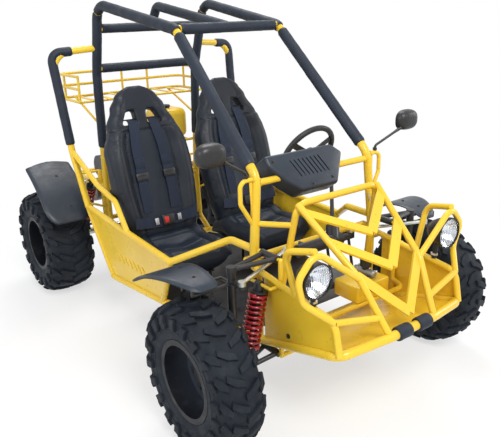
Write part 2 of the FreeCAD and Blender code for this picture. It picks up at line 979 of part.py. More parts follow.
def side_rail(grow=0.0):
    radius = side_tube_radius + grow
    corner = at(rail_corner_x, rail_corner_back, rail_corner_z)
    apex = at(apex_x, apex_back, apex_z)
    front = at(nose_x, front_rail_back, front_rail_z)
    top = tube([corner, apex, front, pillar_at(front_rail_z)], radius, tight_bend_radius)
    rear_edge = tube([corner, at(lower_wide_x, lower_wide_back, lower_rail_z)], radius)
    front_edge = tube([apex, at(lower_mid_x, lower_mid_back, lower_mid_z)], radius)
    rest_end = between(corner, apex, (rail_corner_back - arm_rest_end_back) / (rail_corner_back - apex_back))
    rest = tube([
        hoop_at(hoop_foot_z),
        at(apex_x, arm_rest_back, arm_rest_z),
        at(apex_x, arm_rest_front_back, arm_rest_front_z),
        rest_end,
    ], light_tube_radius + grow, tight_bend_radius)
    stays = []
    for z in (hoop_foot_z, side_stay_z):
        stays.append(tube([hoop_at(z), post_at(z)], light_tube_radius + grow))
    return fused([top, rear_edge, front_edge, rest, ball(corner, radius), ball(apex, radius)] + stays)


def side_panel():
    top = Part.LineSegment(at(rail_corner_x, rail_corner_back, rail_corner_z), at(apex_x, apex_back, apex_z))
    low = Part.LineSegment(at(lower_wide_x, lower_wide_back, lower_rail_z),
                           at(lower_mid_x, lower_mid_back, lower_mid_z))
    skin = Part.makeRuledSurface(top.toShape(), low.toShape())
    plate = skin.extrude(X_AXIS * panel_thickness)
    return largest(plate.cut(side_rail(seat_gap)).cut(main_frame(seat_gap)))


def largest(shape):
    return max(shape.Solids, key=lambda solid: solid.Volume)


def nose_panel():
    corners = [
        nose_top_point(),
        pillar_lower_front(),
        at(nose_x, lower_nose_back, lower_nose_z),
        at(nose_x, nose_bottom_back, nose_bottom_z),
    ]
    plate = slab(corners, X_AXIS * panel_thickness)
    return largest(plate.cut(front_frame(seat_gap)))


def pillar_lower_front():
    top = nose_top_point()
    rear = at(nose_x, pillar_foot_back, pillar_foot_z)
    return between(top, rear, (lower_nose_back - nose_top_back) / (pillar_foot_back - nose_top_back))


def rail_top(back):
    lift = main_tube_radius + 2 * seat_gap
    if back > lower_mid_back:
        share = (back - lower_mid_back) / (lower_wide_back - lower_mid_back)
        return lower_mid_z + (lower_rail_z - lower_mid_z) * share + lift
    share = (lower_mid_back - back) / (lower_mid_back - lower_nose_back)
    return lower_mid_z + (lower_nose_z - lower_mid_z) * share + lift


def floor_top(back):
    return rail_top(back) + floor_thickness


def floor_pan():
    backs = [floor_front_back, lower_mid_back, lower_wide_back]
    low = [at(-lower_wide_x, back, rail_top(back)) for back in backs]
    high = [at(-lower_wide_x, back, floor_top(back)) for back in reversed(backs)]
    strip = slab(low + high, X_AXIS * (2 * lower_wide_x))
    share = (lower_mid_back - floor_front_back) / (lower_mid_back - lower_nose_back)
    front_x = lower_mid_x + (nose_x - lower_mid_x) * share
    outline = [
        at(lower_mid_x, lower_wide_back, 0),
        at(lower_mid_x, lower_mid_back, 0),
        at(front_x, floor_front_back, 0),
    ]
    outline += [flipped(point) for point in reversed(outline)]
    pan = strip.common(slab(outline, Z_AXIS * pillar_foot_z))
    for neighbour in [main_frame(seat_gap), front_frame(seat_gap)] + both_sides(side_rail(seat_gap)):
        pan = pan.cut(neighbour)
    return largest(pan)


def skid_plate():
    half = nose_x - main_tube_radius
    rear_z = lower_nose_z + floor_thickness
    front_z = nose_bottom_z + floor_thickness
    rear = at(-half, lower_nose_back, rear_z)
    front = at(-half, nose_bottom_back, front_z)
    side = [rear, front, front - Z_AXIS * floor_thickness, rear - Z_AXIS * floor_thickness]
    plate = slab(side, X_AXIS * (2 * half))
    return largest(plate.cut(front_frame(seat_gap)))


def hoop_post():
    foot = at(dash_post_foot_x, tower_half_spacing, lower_arm_inner_z)
    top = at(hood_top_x, hood_top_back, hood_top_z)
    return [foot, top, flipped(top), flipped(foot)]


def dash_frame(grow=0.0):
    radius = light_tube_radius + grow
    points = hoop_post()
    foot, top = points[:2]
    pillar_middle = pillar_at(link_z)
    link_end = between(foot, top, (link_z - foot.z) / (top.z - foot.z))
    cross_end = pillar_at(dash_cross_z)
    pieces = [tube(points, radius, tight_bend_radius), tube([flipped(cross_end), cross_end], radius)]
    pieces += both_sides(tube([pillar_middle, link_end], dash_link_radius + grow))
    pieces += [rack_beam(grow), column_support(grow)]
    return fused(pieces)


def bush_ends():
    start = coupling_point() + column_axis() * (coupling_cup_length * 2 + hub_running_gap)
    return [start, start + column_axis() * column_bush_length]


def column_support(grow):
    ends = bush_ends()
    bush = tube(ends, column_bush_radius + grow)
    cross = pillar_at(dash_cross_z)
    stay = tube([Vector(wheel_centre_x, cross.y, cross.z), between(ends[0], ends[1], bush_stay_share)],
                column_stay_radius + grow)
    bore = tube([coupling_point(), wheel_centre()], column_radius + axle_fit_gap)
    return fused([bush, stay]).cut(bore)


def hood_leg_points():
    return [
        at(hood_top_x, hood_top_back, hood_top_z),
        at(hood_leg_mid_x, hood_leg_mid_back, hood_leg_mid_z),
        at(hood_leg_foot_x, bumper_back, bumper_z),
    ]


def hood_guard(grow=0.0):
    points = hood_leg_points()
    pieces = both_sides(tube(points, light_tube_radius + grow, main_bend_radius))
    tips = [
        (chevron_one_share, at(0, chevron_one_back, chevron_one_z)),
        (chevron_two_share, at(0, chevron_two_back, chevron_two_z)),
        (chevron_three_share, at(0, chevron_three_back, chevron_three_z)),
    ]
    run_end = between(points[1], points[2], guard_run_share)
    pieces += both_sides(tube([run_end, nose_top_point()], guard_tube_radius + grow))
    for share, tip in tips:
        root = between(points[0], points[1], share)
        normal = Vector(flipped(root) - root).cross(tip - root)
        for end in (root, flipped(root)):
            pieces.append(bar(end, tip, chevron_width, chevron_thickness, normal))
    return fused(pieces)


def lamp_guard(grow=0.0):
    radius = guard_tube_radius + grow
    corner = at(guard_corner_x, guard_corner_back, guard_corner_z)
    side = at(guard_side_x, guard_side_back, guard_side_z)
    top = at(guard_top_x, guard_top_back, guard_top_z)
    leg = hood_leg_points()[1]
    front = tube([nose_top_point(), corner, side, top, leg], radius, tight_bend_radius)
    rail_share = (rear_guard_back - nose_top_back) / (pillar_foot_back - nose_top_back)
    rail = between(nose_top_point(), at(nose_x, pillar_foot_back, pillar_foot_z), rail_share)
    knee = at(rear_guard_x, rear_guard_back, rear_guard_z)
    rear = tube([rail, knee, top], radius, tight_bend_radius)
    return fused([front, rear])


def headlamp():
    middle = at(lamp_x, lamp_back, lamp_z)
    bowl = Part.makeCone(lamp_radius, lamp_rear_radius, lamp_depth, middle, Y_AXIS)
    stem_top = middle + Y_AXIS * (lamp_depth / 2)
    stem = tube([Vector(nose_x, stem_top.y, rail_height(stem_top.y)), stem_top], lamp_stem_radius)
    recess = Part.makeCylinder(lens_radius + seat_gap, lens_bulge, middle - Y_AXIS * seat_gap, Y_AXIS)
    body = fused([bowl, stem]).cut(recess)
    return largest(body.cut(front_frame(seat_gap)).cut(lamp_guard(seat_gap)))


def rail_height(y):
    first = nose_top_point()
    last = at(nose_x, pillar_foot_back, pillar_foot_z)
    return first.z + (last.z - first.z) * (y - first.y) / (last.y - first.y)


def lamp_lens():
    rim_height = lens_bulge - 2 * seat_gap
    dome_radius = (lens_radius ** 2 + lens_bulge ** 2) / (2 * lens_bulge)
    half_angle = math.asin(lens_radius / dome_radius) / 2
    halfway = Vector(dome_radius * math.sin(half_angle), lens_bulge - dome_radius * (1 - math.cos(half_angle)), 0)
    edges = [
        Part.LineSegment(Vector(0, -rim_height, 0), Vector(lens_radius, -rim_height, 0)).toShape(),
        Part.LineSegment(Vector(lens_radius, -rim_height, 0), Vector(lens_radius, 0, 0)).toShape(),
        Part.Arc(Vector(lens_radius, 0, 0), halfway, Vector(0, lens_bulge, 0)).toShape(),
        Part.LineSegment(Vector(0, lens_bulge, 0), Vector(0, -rim_height, 0)).toShape(),
    ]
    lens = spun(edges, Y_AXIS)
    facing = lens.mirror(ORIGIN, Y_AXIS)
    return facing.translated(at(lamp_x, lamp_back, lamp_z))


def bumper_pad():
    front = at(0, bumper_back, bumper_z)
    x = bumper_pad_middle_x - bumper_pad_length / 2
    outer = rod_along_x(bumper_pad_radius, x, x + bumper_pad_length, front.y, front.z)
    return outer.cut(front_frame(seat_gap)).cut(hood_guard(seat_gap))


# Cabin

def dash_cowl():
    x = wheel_centre_x - cowl_half_width
    profile = [
        at(x, cowl_front_back, cowl_low_z),
        at(x, cowl_front_back, cowl_mid_z),
        at(x, (cowl_front_back + cowl_rear_back) / 2, cowl_high_z),
        at(x, cowl_rear_back, cowl_high_z),
        at(x, cowl_rear_back, cowl_high_z - cowl_wall),
        at(x, (cowl_front_back + cowl_rear_back) / 2, cowl_high_z - cowl_wall),
        at(x, cowl_front_back + cowl_wall, cowl_mid_z - cowl_wall),
        at(x, cowl_front_back + cowl_wall, cowl_low_z),
    ]
    skin = slab(profile, X_AXIS * (2 * cowl_half_width))
    outline = profile[:4] + [at(x, cowl_rear_back, cowl_low_z)]
    cheek = slab(outline, X_AXIS * cowl_wall)
    far_cheek = cheek.translated(X_AXIS * (2 * cowl_half_width - cowl_wall))
    return fused([skin, cheek, far_cheek]).cut(dash_frame(seat_gap)).cut(mirrored(cage_side(seat_gap)))


def pedals():
    shaft_y = front_axle_y + pedal_shaft_back
    shaft = rod_along_x(light_tube_radius, 0, pedal_left_x, shaft_y, pedal_shaft_z)
    pieces = [shaft]
    for x in (pedal_right_x, pedal_left_x - pedal_pad_width / 2):
        foot = at(x, pedal_shaft_back, pedal_shaft_z)
        head = at(x, pedal_shaft_back + pedal_arm_lean, pedal_shaft_z + pedal_arm_height)
        pieces.append(tube([foot, head], thin_rod_radius))
        low = head - Z_AXIS * (pedal_pad_height / 2)
        pieces.append(bar(low, low + Z_AXIS * pedal_pad_height, pedal_pad_width, pedal_pad_thickness, Y_AXIS))
    for x in (thin_rod_radius * 2, pedal_left_x - thin_rod_radius * 2):
        base = floor_top(pedal_shaft_back - light_tube_radius) + seat_gap
        pieces.append(tube([at(x, pedal_shaft_back, base), at(x, pedal_shaft_back, pedal_shaft_z)],
                           light_tube_radius))
    return fused(pieces)


def seat_frame_axes():
    up = Vector(0, math.sin(seat_recline), math.cos(seat_recline))
    rear = Vector(0, math.cos(seat_recline), -math.sin(seat_recline))
    return up, rear


def seat_back():
    up, rear = seat_frame_axes()
    base = at(seat_x, seat_back_low_back, seat_back_low_z)
    shoulder = up * (seat_back_length * seat_shoulder_share)
    head = up * (seat_back_length * seat_head_share)
    top = base + up * seat_back_length
    low_right = base + X_AXIS * seat_back_low_half
    low_left = base - X_AXIS * seat_back_low_half
    shoulder_right = base + shoulder + X_AXIS * seat_back_shoulder_half
    shoulder_left = base + shoulder - X_AXIS * seat_back_shoulder_half
    head_right = base + head + X_AXIS * seat_back_head_half
    head_left = base + head - X_AXIS * seat_back_head_half
    outline = Part.Wire([
        Part.LineSegment(low_left, low_right).toShape(),
        Part.LineSegment(low_right, shoulder_right).toShape(),
        Part.LineSegment(shoulder_right, head_right).toShape(),
        Part.Arc(head_right, top, head_left).toShape(),
        Part.LineSegment(head_left, shoulder_left).toShape(),
        Part.LineSegment(shoulder_left, low_left).toShape(),
    ])
    body = Part.Face(outline).extrude(rear * seat_back_thickness)
    for side in (-1, 1):
        centre = base + up * (seat_back_length * seat_hole_share) + X_AXIS * (side * seat_hole_offset)
        inner = X_AXIS * (-side * seat_hole_half)
        outer = X_AXIS * (side * seat_hole_half)
        low = up * (-seat_hole_height / 2)
        high = up * (seat_hole_height / 2)
        corners = [centre + inner + low, centre + outer + low, centre + outer * 0.3 + high, centre + inner + high]
        corners = [corner - rear * cut_overrun for corner in corners]
        body = body.cut(slab(corners, rear * (seat_back_thickness + 2 * cut_overrun)))
    return body


def cushion_section(back, high_z):
    corners = [
        at(seat_x - cushion_low_half, back, cushion_low_z),
        at(seat_x + cushion_low_half, back, cushion_low_z),
        at(seat_x + cushion_half_width, back, high_z),
        at(seat_x - cushion_half_width, back, high_z),
    ]
    return Part.makePolygon(corners + corners[:1])


def seat_cushion():
    front = cushion_section(cushion_front_back, cushion_front_z)
    rear = cushion_section(cushion_rear_back, cushion_rear_z)
    return Part.makeLoft([front, rear], True, True)


def seat_stand():
    rail_z = cushion_low_z - seat_gap - stand_bar_thickness / 2
    front_back = cushion_front_back + light_tube_radius * 2
    rear_back = seat_back_low_back - light_tube_radius * 2
    stands = []
    for offset in (-cushion_low_half / 2, cushion_low_half / 2):
        x = seat_x + offset
        pieces = [bar(at(x, front_back, rail_z), at(x, rear_back, rail_z), stand_bar_width,
                      stand_bar_thickness, Z_AXIS)]
        for back in (front_back + light_tube_radius, rear_back - light_tube_radius):
            foot_z = floor_top(back - thin_rod_radius) + seat_gap
            pieces.append(tube([at(x, back, foot_z), at(x, back, rail_z)], thin_rod_radius))
        stands.append(fused(pieces))
    return stands


def harness():
    up, rear = seat_frame_axes()
    base = at(seat_x, seat_back_low_back, seat_back_low_z)
    straps = []
    for side in (-1, 1):
        offset = X_AXIS * (side * strap_offset)
        low = base + up * (seat_back_length * strap_low_share) + offset
        high = base + up * (seat_back_length * seat_hole_share - seat_hole_height) + offset
        lift = rear * (-(strap_thickness / 2 + seat_gap))
        straps.append(bar(low + lift, high + lift, strap_width, strap_thickness, rear))
    return straps


def mirror():
    root = pillar_at(mirror_base_z)
    loop = Vector(mirror_loop_x, root.y, mirror_loop_z)
    head = at(mirror_x, mirror_back, mirror_z)
    foot = tube([root, loop], thin_rod_radius)
    stem = tube([loop, head], mirror_stem_radius)
    ovals = []
    for depth_share, width_share in zip(mirror_depth_shares, mirror_width_shares):
        centre = head + Y_AXIS * (mirror_lip - mirror_depth * depth_share)
        oval = Part.Ellipse(ORIGIN, mirror_half_width * width_share, mirror_half_height * width_share).toShape()
        oval.rotate(ORIGIN, X_AXIS, 90)
        ovals.append(Part.Wire(oval.translated(centre)))
    housing = outward(Part.makeLoft(ovals, True, True))
    body = fused([foot, ball(loop, thin_rod_radius), stem, housing])
    return largest(body.cut(cage_side(seat_gap)))


# Suspension arms, drawn for the left side

def control_arm(inner_z, socket_low_z, tube_z):
    pieces = [Part.makeCylinder(arm_socket_radius, arm_socket_height, at(king_pin_x, 0, socket_low_z), Z_AXIS)]
    half = arm_sleeve_length / 2
    sleeve_body = tube([at(tower_x, -half, inner_z), at(tower_x, half, inner_z)], arm_sleeve_radius)
    pieces.append(sleeve_body)
    for offset in (-half + arm_tube_radius, half - arm_tube_radius):
        pieces.append(tube([at(tower_x, offset, inner_z), at(king_pin_x, 0, tube_z)], arm_tube_radius))
    body = fused(pieces)
    return body


def lower_arm():
    socket_low = upright_low_z - seat_gap - arm_socket_height
    body = control_arm(lower_arm_inner_z, socket_low, socket_low + arm_tube_radius)
    foot = at(front_shock_foot_x, 0, front_shock_foot_z)
    share = (front_shock_foot_x - tower_x) / (king_pin_x - tower_x)
    arm_z = lower_arm_inner_z + (socket_low + arm_tube_radius - lower_arm_inner_z) * share
    width = shock_eye_width / 2 + seat_gap
    ears = []
    for side in (-1, 1):
        start = at(front_shock_foot_x, side * width, arm_z)
        top = at(front_shock_foot_x, side * width, front_shock_foot_z)
        ear = bar(start, top, shock_eye_radius * 2, panel_thickness, Y_AXIS)
        ears.append(ear.translated(Y_AXIS * (side * panel_thickness / 2)))
    saddle = Part.makeCylinder(shock_eye_width, arm_tube_radius * 2,
                               Vector(foot.x, foot.y, arm_z - arm_tube_radius), Z_AXIS)
    bolt = tube([at(front_shock_foot_x, -width - panel_thickness, front_shock_foot_z),
                 at(front_shock_foot_x, width + panel_thickness, front_shock_foot_z)], pin_radius)
    body = fused([body, saddle] + ears + [bolt])
    return body.cut(pin_bore(lower_arm_inner_z))


def upper_arm():
    socket_low = upright_high_z + seat_gap
    body = control_arm(upper_arm_z, socket_low, socket_low + arm_socket_height / 2)
    return body.cut(pin_bore(upper_arm_z))


def pin_bore(z):
    reach = tower_half_spacing
    return tube([at(tower_x, -reach, z), at(tower_x, reach, z)], pin_radius + seat_gap)


def shock(top, foot, hinge):
    run = Vector(foot - top).normalize()
    length = (foot - top).Length
    half = hinge * (shock_eye_width / 2)
    pieces = [tube([top - half, top + half], shock_eye_radius), tube([foot - half, foot + half], shock_eye_radius)]
    body_end = top + run * (length * 0.55)
    pieces.append(tube([top, body_end], shock_body_radius))
    pieces.append(tube([body_end, foot], shock_rod_radius))
    seat_radius = spring_radius + spring_wire_radius
    start = spring_start(length)
    upper = top + run * start
    lower = foot - run * start
    pieces.append(tube([upper - run * spring_seat_thickness, upper], seat_radius))
    pieces.append(tube([lower, lower + run * spring_seat_thickness], seat_radius))
    body = fused(pieces)
    for point in (top, foot):
        body = body.cut(tube([point - half * 2, point + half * 2], pin_radius + seat_gap))
    return largest(body)


def spring_start(length):
    return shock_eye_radius + spring_seat_thickness + length * 0.04


def spring(top, foot):
    run = Vector(foot - top)
    start = spring_start(run.Length) + seat_gap
    height = run.Length - 2 * start
    pitch = (height - 2 * spring_wire_radius) / spring_turn_count
    helix = Part.makeHelix(pitch, height - 2 * spring_wire_radius, spring_radius)
    section = Part.Wire(Part.makeCircle(spring_wire_radius, Vector(spring_radius, 0, 0), Y_AXIS))
    coil = Part.Wire(helix.Edges).makePipeShell([section], True, True)
    coil.translate(Z_AXIS * spring_wire_radius)
    direction = Vector(run).normalize()
    coil.Placement = FreeCAD.Placement(top + direction * start, FreeCAD.Rotation(Z_AXIS, direction)).multiply(
        coil.Placement)
    return coil


def front_shock_ends():
    return at(front_shock_top_x, 0, front_shock_top_z), at(front_shock_foot_x, 0, front_shock_foot_z)


def rear_shock_ends():
    top = at(rear_shock_x, rear_shock_top_back, rear_shock_top_z)
    foot = at(rear_shock_x, rear_shock_foot_back, rear_shock_foot_z)
    return top, foot


# Rear end

def rear_frame(grow=0.0):
    radius = side_tube_radius + grow
    light = light_tube_radius + grow
    foot = at(cage_foot_x, cage_foot_back, cage_foot_z)
    low = at(lower_rear_x, lower_rear_back, lower_rail_z)
    end = at(cage_foot_x, rear_end_back, cage_foot_z)
    drop = at(cage_foot_x, rear_end_back, rear_drop_z)
    pivot = at(cage_foot_x, swing_pivot_back, swing_pivot_z)
    deck = tube([foot, end, drop, pivot], radius, tight_bend_radius)
    down = tube([foot, pivot, low], radius, tight_bend_radius)
    pieces = both_sides(deck) + both_sides(down) + both_sides(ball(foot, radius)) + both_sides(ball(pivot, radius))
    for point in (end, foot, pivot):
        pieces.append(tube([flipped(point), point], radius))
    mount_rear = at(cage_foot_x, engine_mount_rear_back, cage_foot_z)
    mount_front = at(cage_foot_x, engine_front_back - light_tube_radius - seat_gap, engine_mount_z)
    hanger = Vector(mount_front.x, mount_front.y, cage_foot_z)
    pieces.append(tube([flipped(mount_rear), mount_rear], light))
    pieces.append(tube([flipped(mount_front), mount_front], light))
    pieces += both_sides(tube([mount_front, hanger], light)) + both_sides(ball(mount_front, light))
    top = rear_shock_ends()[0]
    shock_post = tube([Vector(cage_foot_x, top.y, cage_foot_z), Vector(cage_foot_x, top.y, top.z)], light)
    shock_pin = tube([Vector(cage_foot_x, top.y, top.z), top + X_AXIS * shock_eye_width], pin_radius + grow)
    pieces += both_sides(shock_post) + both_sides(shock_pin)
    for back in fender_rod_backs():
        z = rear_fender_under(back)
        pieces += both_sides(tube([at(cage_foot_x, back, z), at(rear_half_track, back, z)], fender_rod_radius + grow))
    return fused(pieces + tank_shelf(grow))


def fender_rod_backs():
    return [wheelbase - rear_fender_radius * share for share in fender_rod_shares]


def rear_fender_under(back):
    inner = rear_fender_radius - rear_fender_thickness
    offset = abs(wheelbase - back) + fender_rod_radius
    return rear_tyre_radius + math.sqrt(inner ** 2 - offset ** 2) - fender_rod_radius - seat_gap


def tank_shelf(grow):
    z = tank_low_z - seat_gap - basket_rod_radius
    post = post_at(z)
    radius = basket_rod_radius + grow
    pieces = [tube([flipped(post), post], radius)]
    for offset in (-tank_shelf_half, tank_shelf_half):
        front = Vector(tank_x + offset, post.y, z)
        rear = at(tank_x + offset, tank_rear_back, z)
        foot = at(tank_x + offset, engine_mount_rear_back, cage_foot_z)
        pieces += [tube([front, rear], radius), ball(rear, radius), tube([rear, foot], radius)]
    return pieces


def swing_arm():
    pieces = []
    for side in (-1, 1):
        pivot = at(side * swing_arm_x, swing_pivot_back, swing_pivot_z)
        carrier = Vector(side * swing_arm_x, rear_axle_y, rear_tyre_radius)
        half = X_AXIS * (bearing_length / 2)
        pieces.append(tube([pivot - half, pivot + half], swing_sleeve_radius))
        pieces.append(tube([pivot, carrier], side_tube_radius))
        pieces.append(tube([carrier - half, carrier + half], bearing_radius))
        foot = rear_shock_ends()[1]
        lug_top = Vector(side * swing_arm_x, foot.y, foot.z)
        lug_low = Vector(side * swing_arm_x, foot.y, rear_tyre_radius)
        pieces.append(tube([lug_low, lug_top], light_tube_radius))
        pieces.append(ball(lug_top, light_tube_radius))
        pin_end = Vector(side * (rear_shock_x + shock_eye_width), foot.y, foot.z)
        pieces.append(tube([lug_top, pin_end], pin_radius))
    cross_share = 0.45
    first = between(at(-swing_arm_x, swing_pivot_back, swing_pivot_z),
                    Vector(-swing_arm_x, rear_axle_y, rear_tyre_radius), cross_share)
    pieces.append(tube([first, flipped(first)], light_tube_radius))
    body = fused(pieces)
    bore = rod_along_x(axle_radius + axle_fit_gap, -rear_half_track, rear_half_track, rear_axle_y, rear_tyre_radius)
    pivot_y = front_axle_y + swing_pivot_back
    pivot_bore = rod_along_x(side_tube_radius + seat_gap, -rear_half_track, rear_half_track, pivot_y, swing_pivot_z)
    return body.cut(bore).cut(pivot_bore)


def rear_axle():
    y = rear_axle_y
    z = rear_tyre_radius
    end = rear_half_track - rear_disc_inset + hub_outer_reach - hub_running_gap
    shaft = rod_along_x(axle_radius, -end, end, y, z)
    sprocket = rod_along_x(sprocket_radius, sprocket_x, sprocket_x + sprocket_thickness, y, z)
    disc = rod_along_x(brake_disc_radius, brake_disc_x, brake_disc_x + brake_disc_thickness, y, z)
    pieces = [shaft, sprocket, disc]
    for x in (sprocket_x, brake_disc_x):
        pieces.append(rod_along_x(axle_hub_radius, x - axle_hub_length / 2, x + axle_hub_length / 2, y, z))
    return fused(pieces)


def engine_top_z():
    return cage_foot_z - light_tube_radius - seat_gap


def engine():
    corners = [
        at(engine_x - engine_half_width, engine_front_back, engine_low_z),
        at(engine_x - engine_half_width, engine_front_back, engine_top_z()),
        at(engine_x - engine_half_width, engine_rear_back, engine_top_z()),
        at(engine_x - engine_half_width, engine_rear_back, engine_low_z),
    ]
    block = slab(corners, X_AXIS * (2 * engine_half_width))
    return fused([block, engine_barrel(0)])


def transmission_case():
    x = engine_x + engine_half_width + seat_gap
    start = at(x, engine_front_back + case_radius, case_z)
    end = start + Y_AXIS * case_length
    first = Part.makeCylinder(case_radius, case_thickness, start, X_AXIS)
    last = Part.makeCylinder(case_radius * 0.85, case_thickness, end, X_AXIS)
    low = slab([start - Z_AXIS * case_radius, start + Z_AXIS * case_radius,
                end + Z_AXIS * (case_radius * 0.85), end - Z_AXIS * (case_radius * 0.85)], X_AXIS * case_thickness)
    return fused([first, last, low])


def exhaust():
    centre = at(muffler_x, muffler_back, muffler_z)
    can = rod_along_x(muffler_radius, centre.x - muffler_half_length, centre.x + muffler_half_length,
                      centre.y, centre.z)
    port_back = engine_front_back - cylinder_length / 2
    pipe = tube([
        at(engine_x, port_back, cylinder_z),
        at(engine_x, port_back, pipe_drop_z),
        at(pipe_side_x, port_back, pipe_drop_z),
        at(pipe_side_x, pipe_low_back, pipe_drop_z),
        at(pipe_side_x, pipe_rise_back, pipe_high_z),
        at(pipe_side_x, muffler_back, pipe_high_z),
    ], pipe_radius, tight_bend_radius)
    bracket_foot = at(muffler_x, rear_end_back, cage_foot_z)
    bracket = tube([centre, bracket_foot], thin_rod_radius)
    barrel = engine_barrel(seat_gap)
    return largest(fused([can, pipe, bracket]).cut(barrel).cut(rear_frame(seat_gap)))


def engine_barrel(grow):
    start = at(engine_x, engine_front_back - cylinder_length, cylinder_z)
    return Part.makeCylinder(cylinder_radius + grow, cylinder_length + cut_overrun, start, Y_AXIS)


def air_cleaner():
    z = cage_foot_z + light_tube_radius + seat_gap + cleaner_radius
    centre = at(cleaner_x, engine_mount_rear_back, z)
    return rod_along_x(cleaner_radius, centre.x - cleaner_half_length, centre.x + cleaner_half_length,
                       centre.y, centre.z)


def fuel_tank():
    corners = [
        at(tank_x - tank_half_width, tank_front_back, tank_low_z),
        at(tank_x - tank_half_width, tank_front_back, tank_high_z),
        at(tank_x - tank_half_width, tank_rear_back, tank_high_z),
        at(tank_x - tank_half_width, tank_rear_back, tank_low_z),
    ]
    block = slab(corners, X_AXIS * (2 * tank_half_width))
    return block.makeFillet(tank_corner_radius, block.Edges)


def basket_ring(z):
    return [
        at(-rack_half_width, basket_front_back, z),
        at(-rack_half_width, basket_rear_back, z),
        at(rack_half_width, basket_rear_back, z),
        at(rack_half_width, basket_front_back, z),
    ]


def luggage_rack():
    radius = basket_rod_radius
    pieces = [tube(basket_ring(z), radius, tight_bend_radius) for z in (basket_low_z, basket_mid_z, basket_high_z)]
    low = basket_ring(basket_low_z)
    high = basket_ring(basket_high_z)
    thin = basket_stay_radius
    pieces.append(tube([low[0], low[3]], thin))
    uprights = [(0, 1, 0), (0, 1, basket_corner_share), (3, 2, 0), (3, 2, basket_corner_share)]
    uprights += [(1, 2, 1 - basket_corner_share), (1, 2, 0.5), (2, 1, 1 - basket_corner_share)]
    for first, last, share in uprights:
        pieces.append(tube([between(low[first], low[last], share), between(high[first], high[last], share)], thin))
    for index in range(1, basket_slat_count + 1):
        share = index / (basket_slat_count + 1)
        front = between(low[0], low[3], share)
        rear = between(low[1], low[2], share)
        pieces.append(bar(front, rear, basket_slat_width, basket_slat_thickness, Z_AXIS))
    post = post_at(basket_low_z)
    brace_foot = post_at(basket_brace_z)
    arm = tube([post, Vector(post.x, low[0].y, post.z)], basket_arm_radius)
    brace = tube([brace_foot, Vector(post.x, low[1].y, post.z)], thin)
    pieces += both_sides(arm) + both_sides(brace)
    rack = fused(pieces)
    for skin in both_sides(rear_post_skin()):
        rack = rack.cut(skin)
    return largest(rack)


def rear_post_skin():
    side = cage_side_points()
    return tube(side[:3], pad_outer_radius + seat_gap, cage_bend_radius)


def rear_fender():
    centre = Vector(rear_fender_inner_x, rear_axle_y, rear_tyre_radius)
    width = rear_fender_outer_x - rear_fender_inner_x
    outer = Part.makeCylinder(rear_fender_radius, width, centre, X_AXIS)
    inner = Part.makeCylinder(rear_fender_radius - rear_fender_thickness, width, centre, X_AXIS)
    ring = outer.cut(inner)
    reach = rear_fender_radius * 3
    start = math.radians(rear_fender_start_deg)
    end = math.radians(rear_fender_end_deg)
    wedge = slab([centre, centre + Vector(0, -math.cos(start), math.sin(start)) * reach,
                  centre + Vector(0, 0, 1) * reach * 1.5,
                  centre + Vector(0, -math.cos(end), math.sin(end)) * reach], X_AXIS * width)
    return ring.common(wedge)


def write(name, *shapes):
    solids = []
    for shape in shapes:
        solids += shape.Solids
    whole = solids[0] if len(solids) == 1 else Part.makeCompound(solids)
    whole.exportStep("parts/" + name + ".step")


frame = main_frame()
write("main_frame", frame)
front_grown = front_frame(seat_gap)
front = front_frame()
write("front_frame", front)
side_grown = side_rail(seat_gap)
cages = [cage_side().cut(front_grown), None]
rails = side_rail().cut(main_frame(seat_gap)).cut(cage_side(seat_gap)).cut(outer_hoop(seat_gap))
rails = largest(rails.cut(front_grown))
rear = rear_frame().cut(main_frame(seat_gap))
rear = largest(rear.cut(cage_side(seat_gap)).cut(mirrored(cage_side(seat_gap))))
write("cage_sides", largest(cages[0]), mirrored(largest(cages[0])))
write("side_rails", rails, mirrored(rails))
write("side_panels", side_panel(), mirrored(side_panel()))
cross = cage_cross_tubes().cut(cage_side(seat_gap)).cut(mirrored(cage_side(seat_gap)))
write("cage_cross_tubes", *cross.Solids)
hoop = largest(outer_hoop().cut(cage_side(seat_gap)))
write("outer_hoops", hoop, mirrored(hoop))
write("cage_pads", *cage_pads())
dash = dash_frame().cut(cage_side(seat_gap)).cut(mirrored(cage_side(seat_gap))).cut(front_grown)
dash = dash.cut(side_grown).cut(mirrored(side_grown))
write("dash_frame", *dash.Solids)
guard = hood_guard().cut(dash_frame(seat_gap)).cut(front_grown)
write("hood_guard", largest(guard))
lamp_loop = largest(lamp_guard().cut(hood_guard(seat_gap)).cut(front_grown))
write("lamp_guards", lamp_loop, mirrored(lamp_loop))
write("headlamps", headlamp(), mirrored(headlamp()))
write("lamp_lenses", lamp_lens(), mirrored(lamp_lens()))
write("nose_panels", nose_panel(), mirrored(nose_panel()))
write("skid_plate", skid_plate())
write("bumper_pads", bumper_pad(), mirrored(bumper_pad()))
write("floor_pan", floor_pan())
write("dash_cowl", dash_cowl())
write("pedals", pedals())
write("rack_housing", rack_housing())
write("seat_backs", seat_back(), mirrored(seat_back()))
write("seat_cushions", seat_cushion(), mirrored(seat_cushion()))
stands = seat_stand()
write("seat_stands", *(stands + [mirrored(stand) for stand in stands]))
belts = harness()
write("harness", *(belts + [mirrored(belt) for belt in belts]))
write("mirrors", mirror(), mirrored(mirror()))
write("lower_arms", lower_arm(), mirrored(lower_arm()))
write("upper_arms", upper_arm(), mirrored(upper_arm()))
dampers = [shock(*front_shock_ends(), Y_AXIS), shock(*rear_shock_ends(), X_AXIS)]
write("shock_absorbers", *(dampers + [mirrored(item) for item in dampers]))
coils = [spring(*front_shock_ends()), spring(*rear_shock_ends())]
write("springs", *(coils + [mirrored(item) for item in coils]))
write("rear_frame", rear)
write("swing_arm", swing_arm())
write("engine", engine())
write("transmission_case", transmission_case())
write("exhaust", exhaust())
write("air_cleaner", air_cleaner())
write("fuel_tank", fuel_tank())
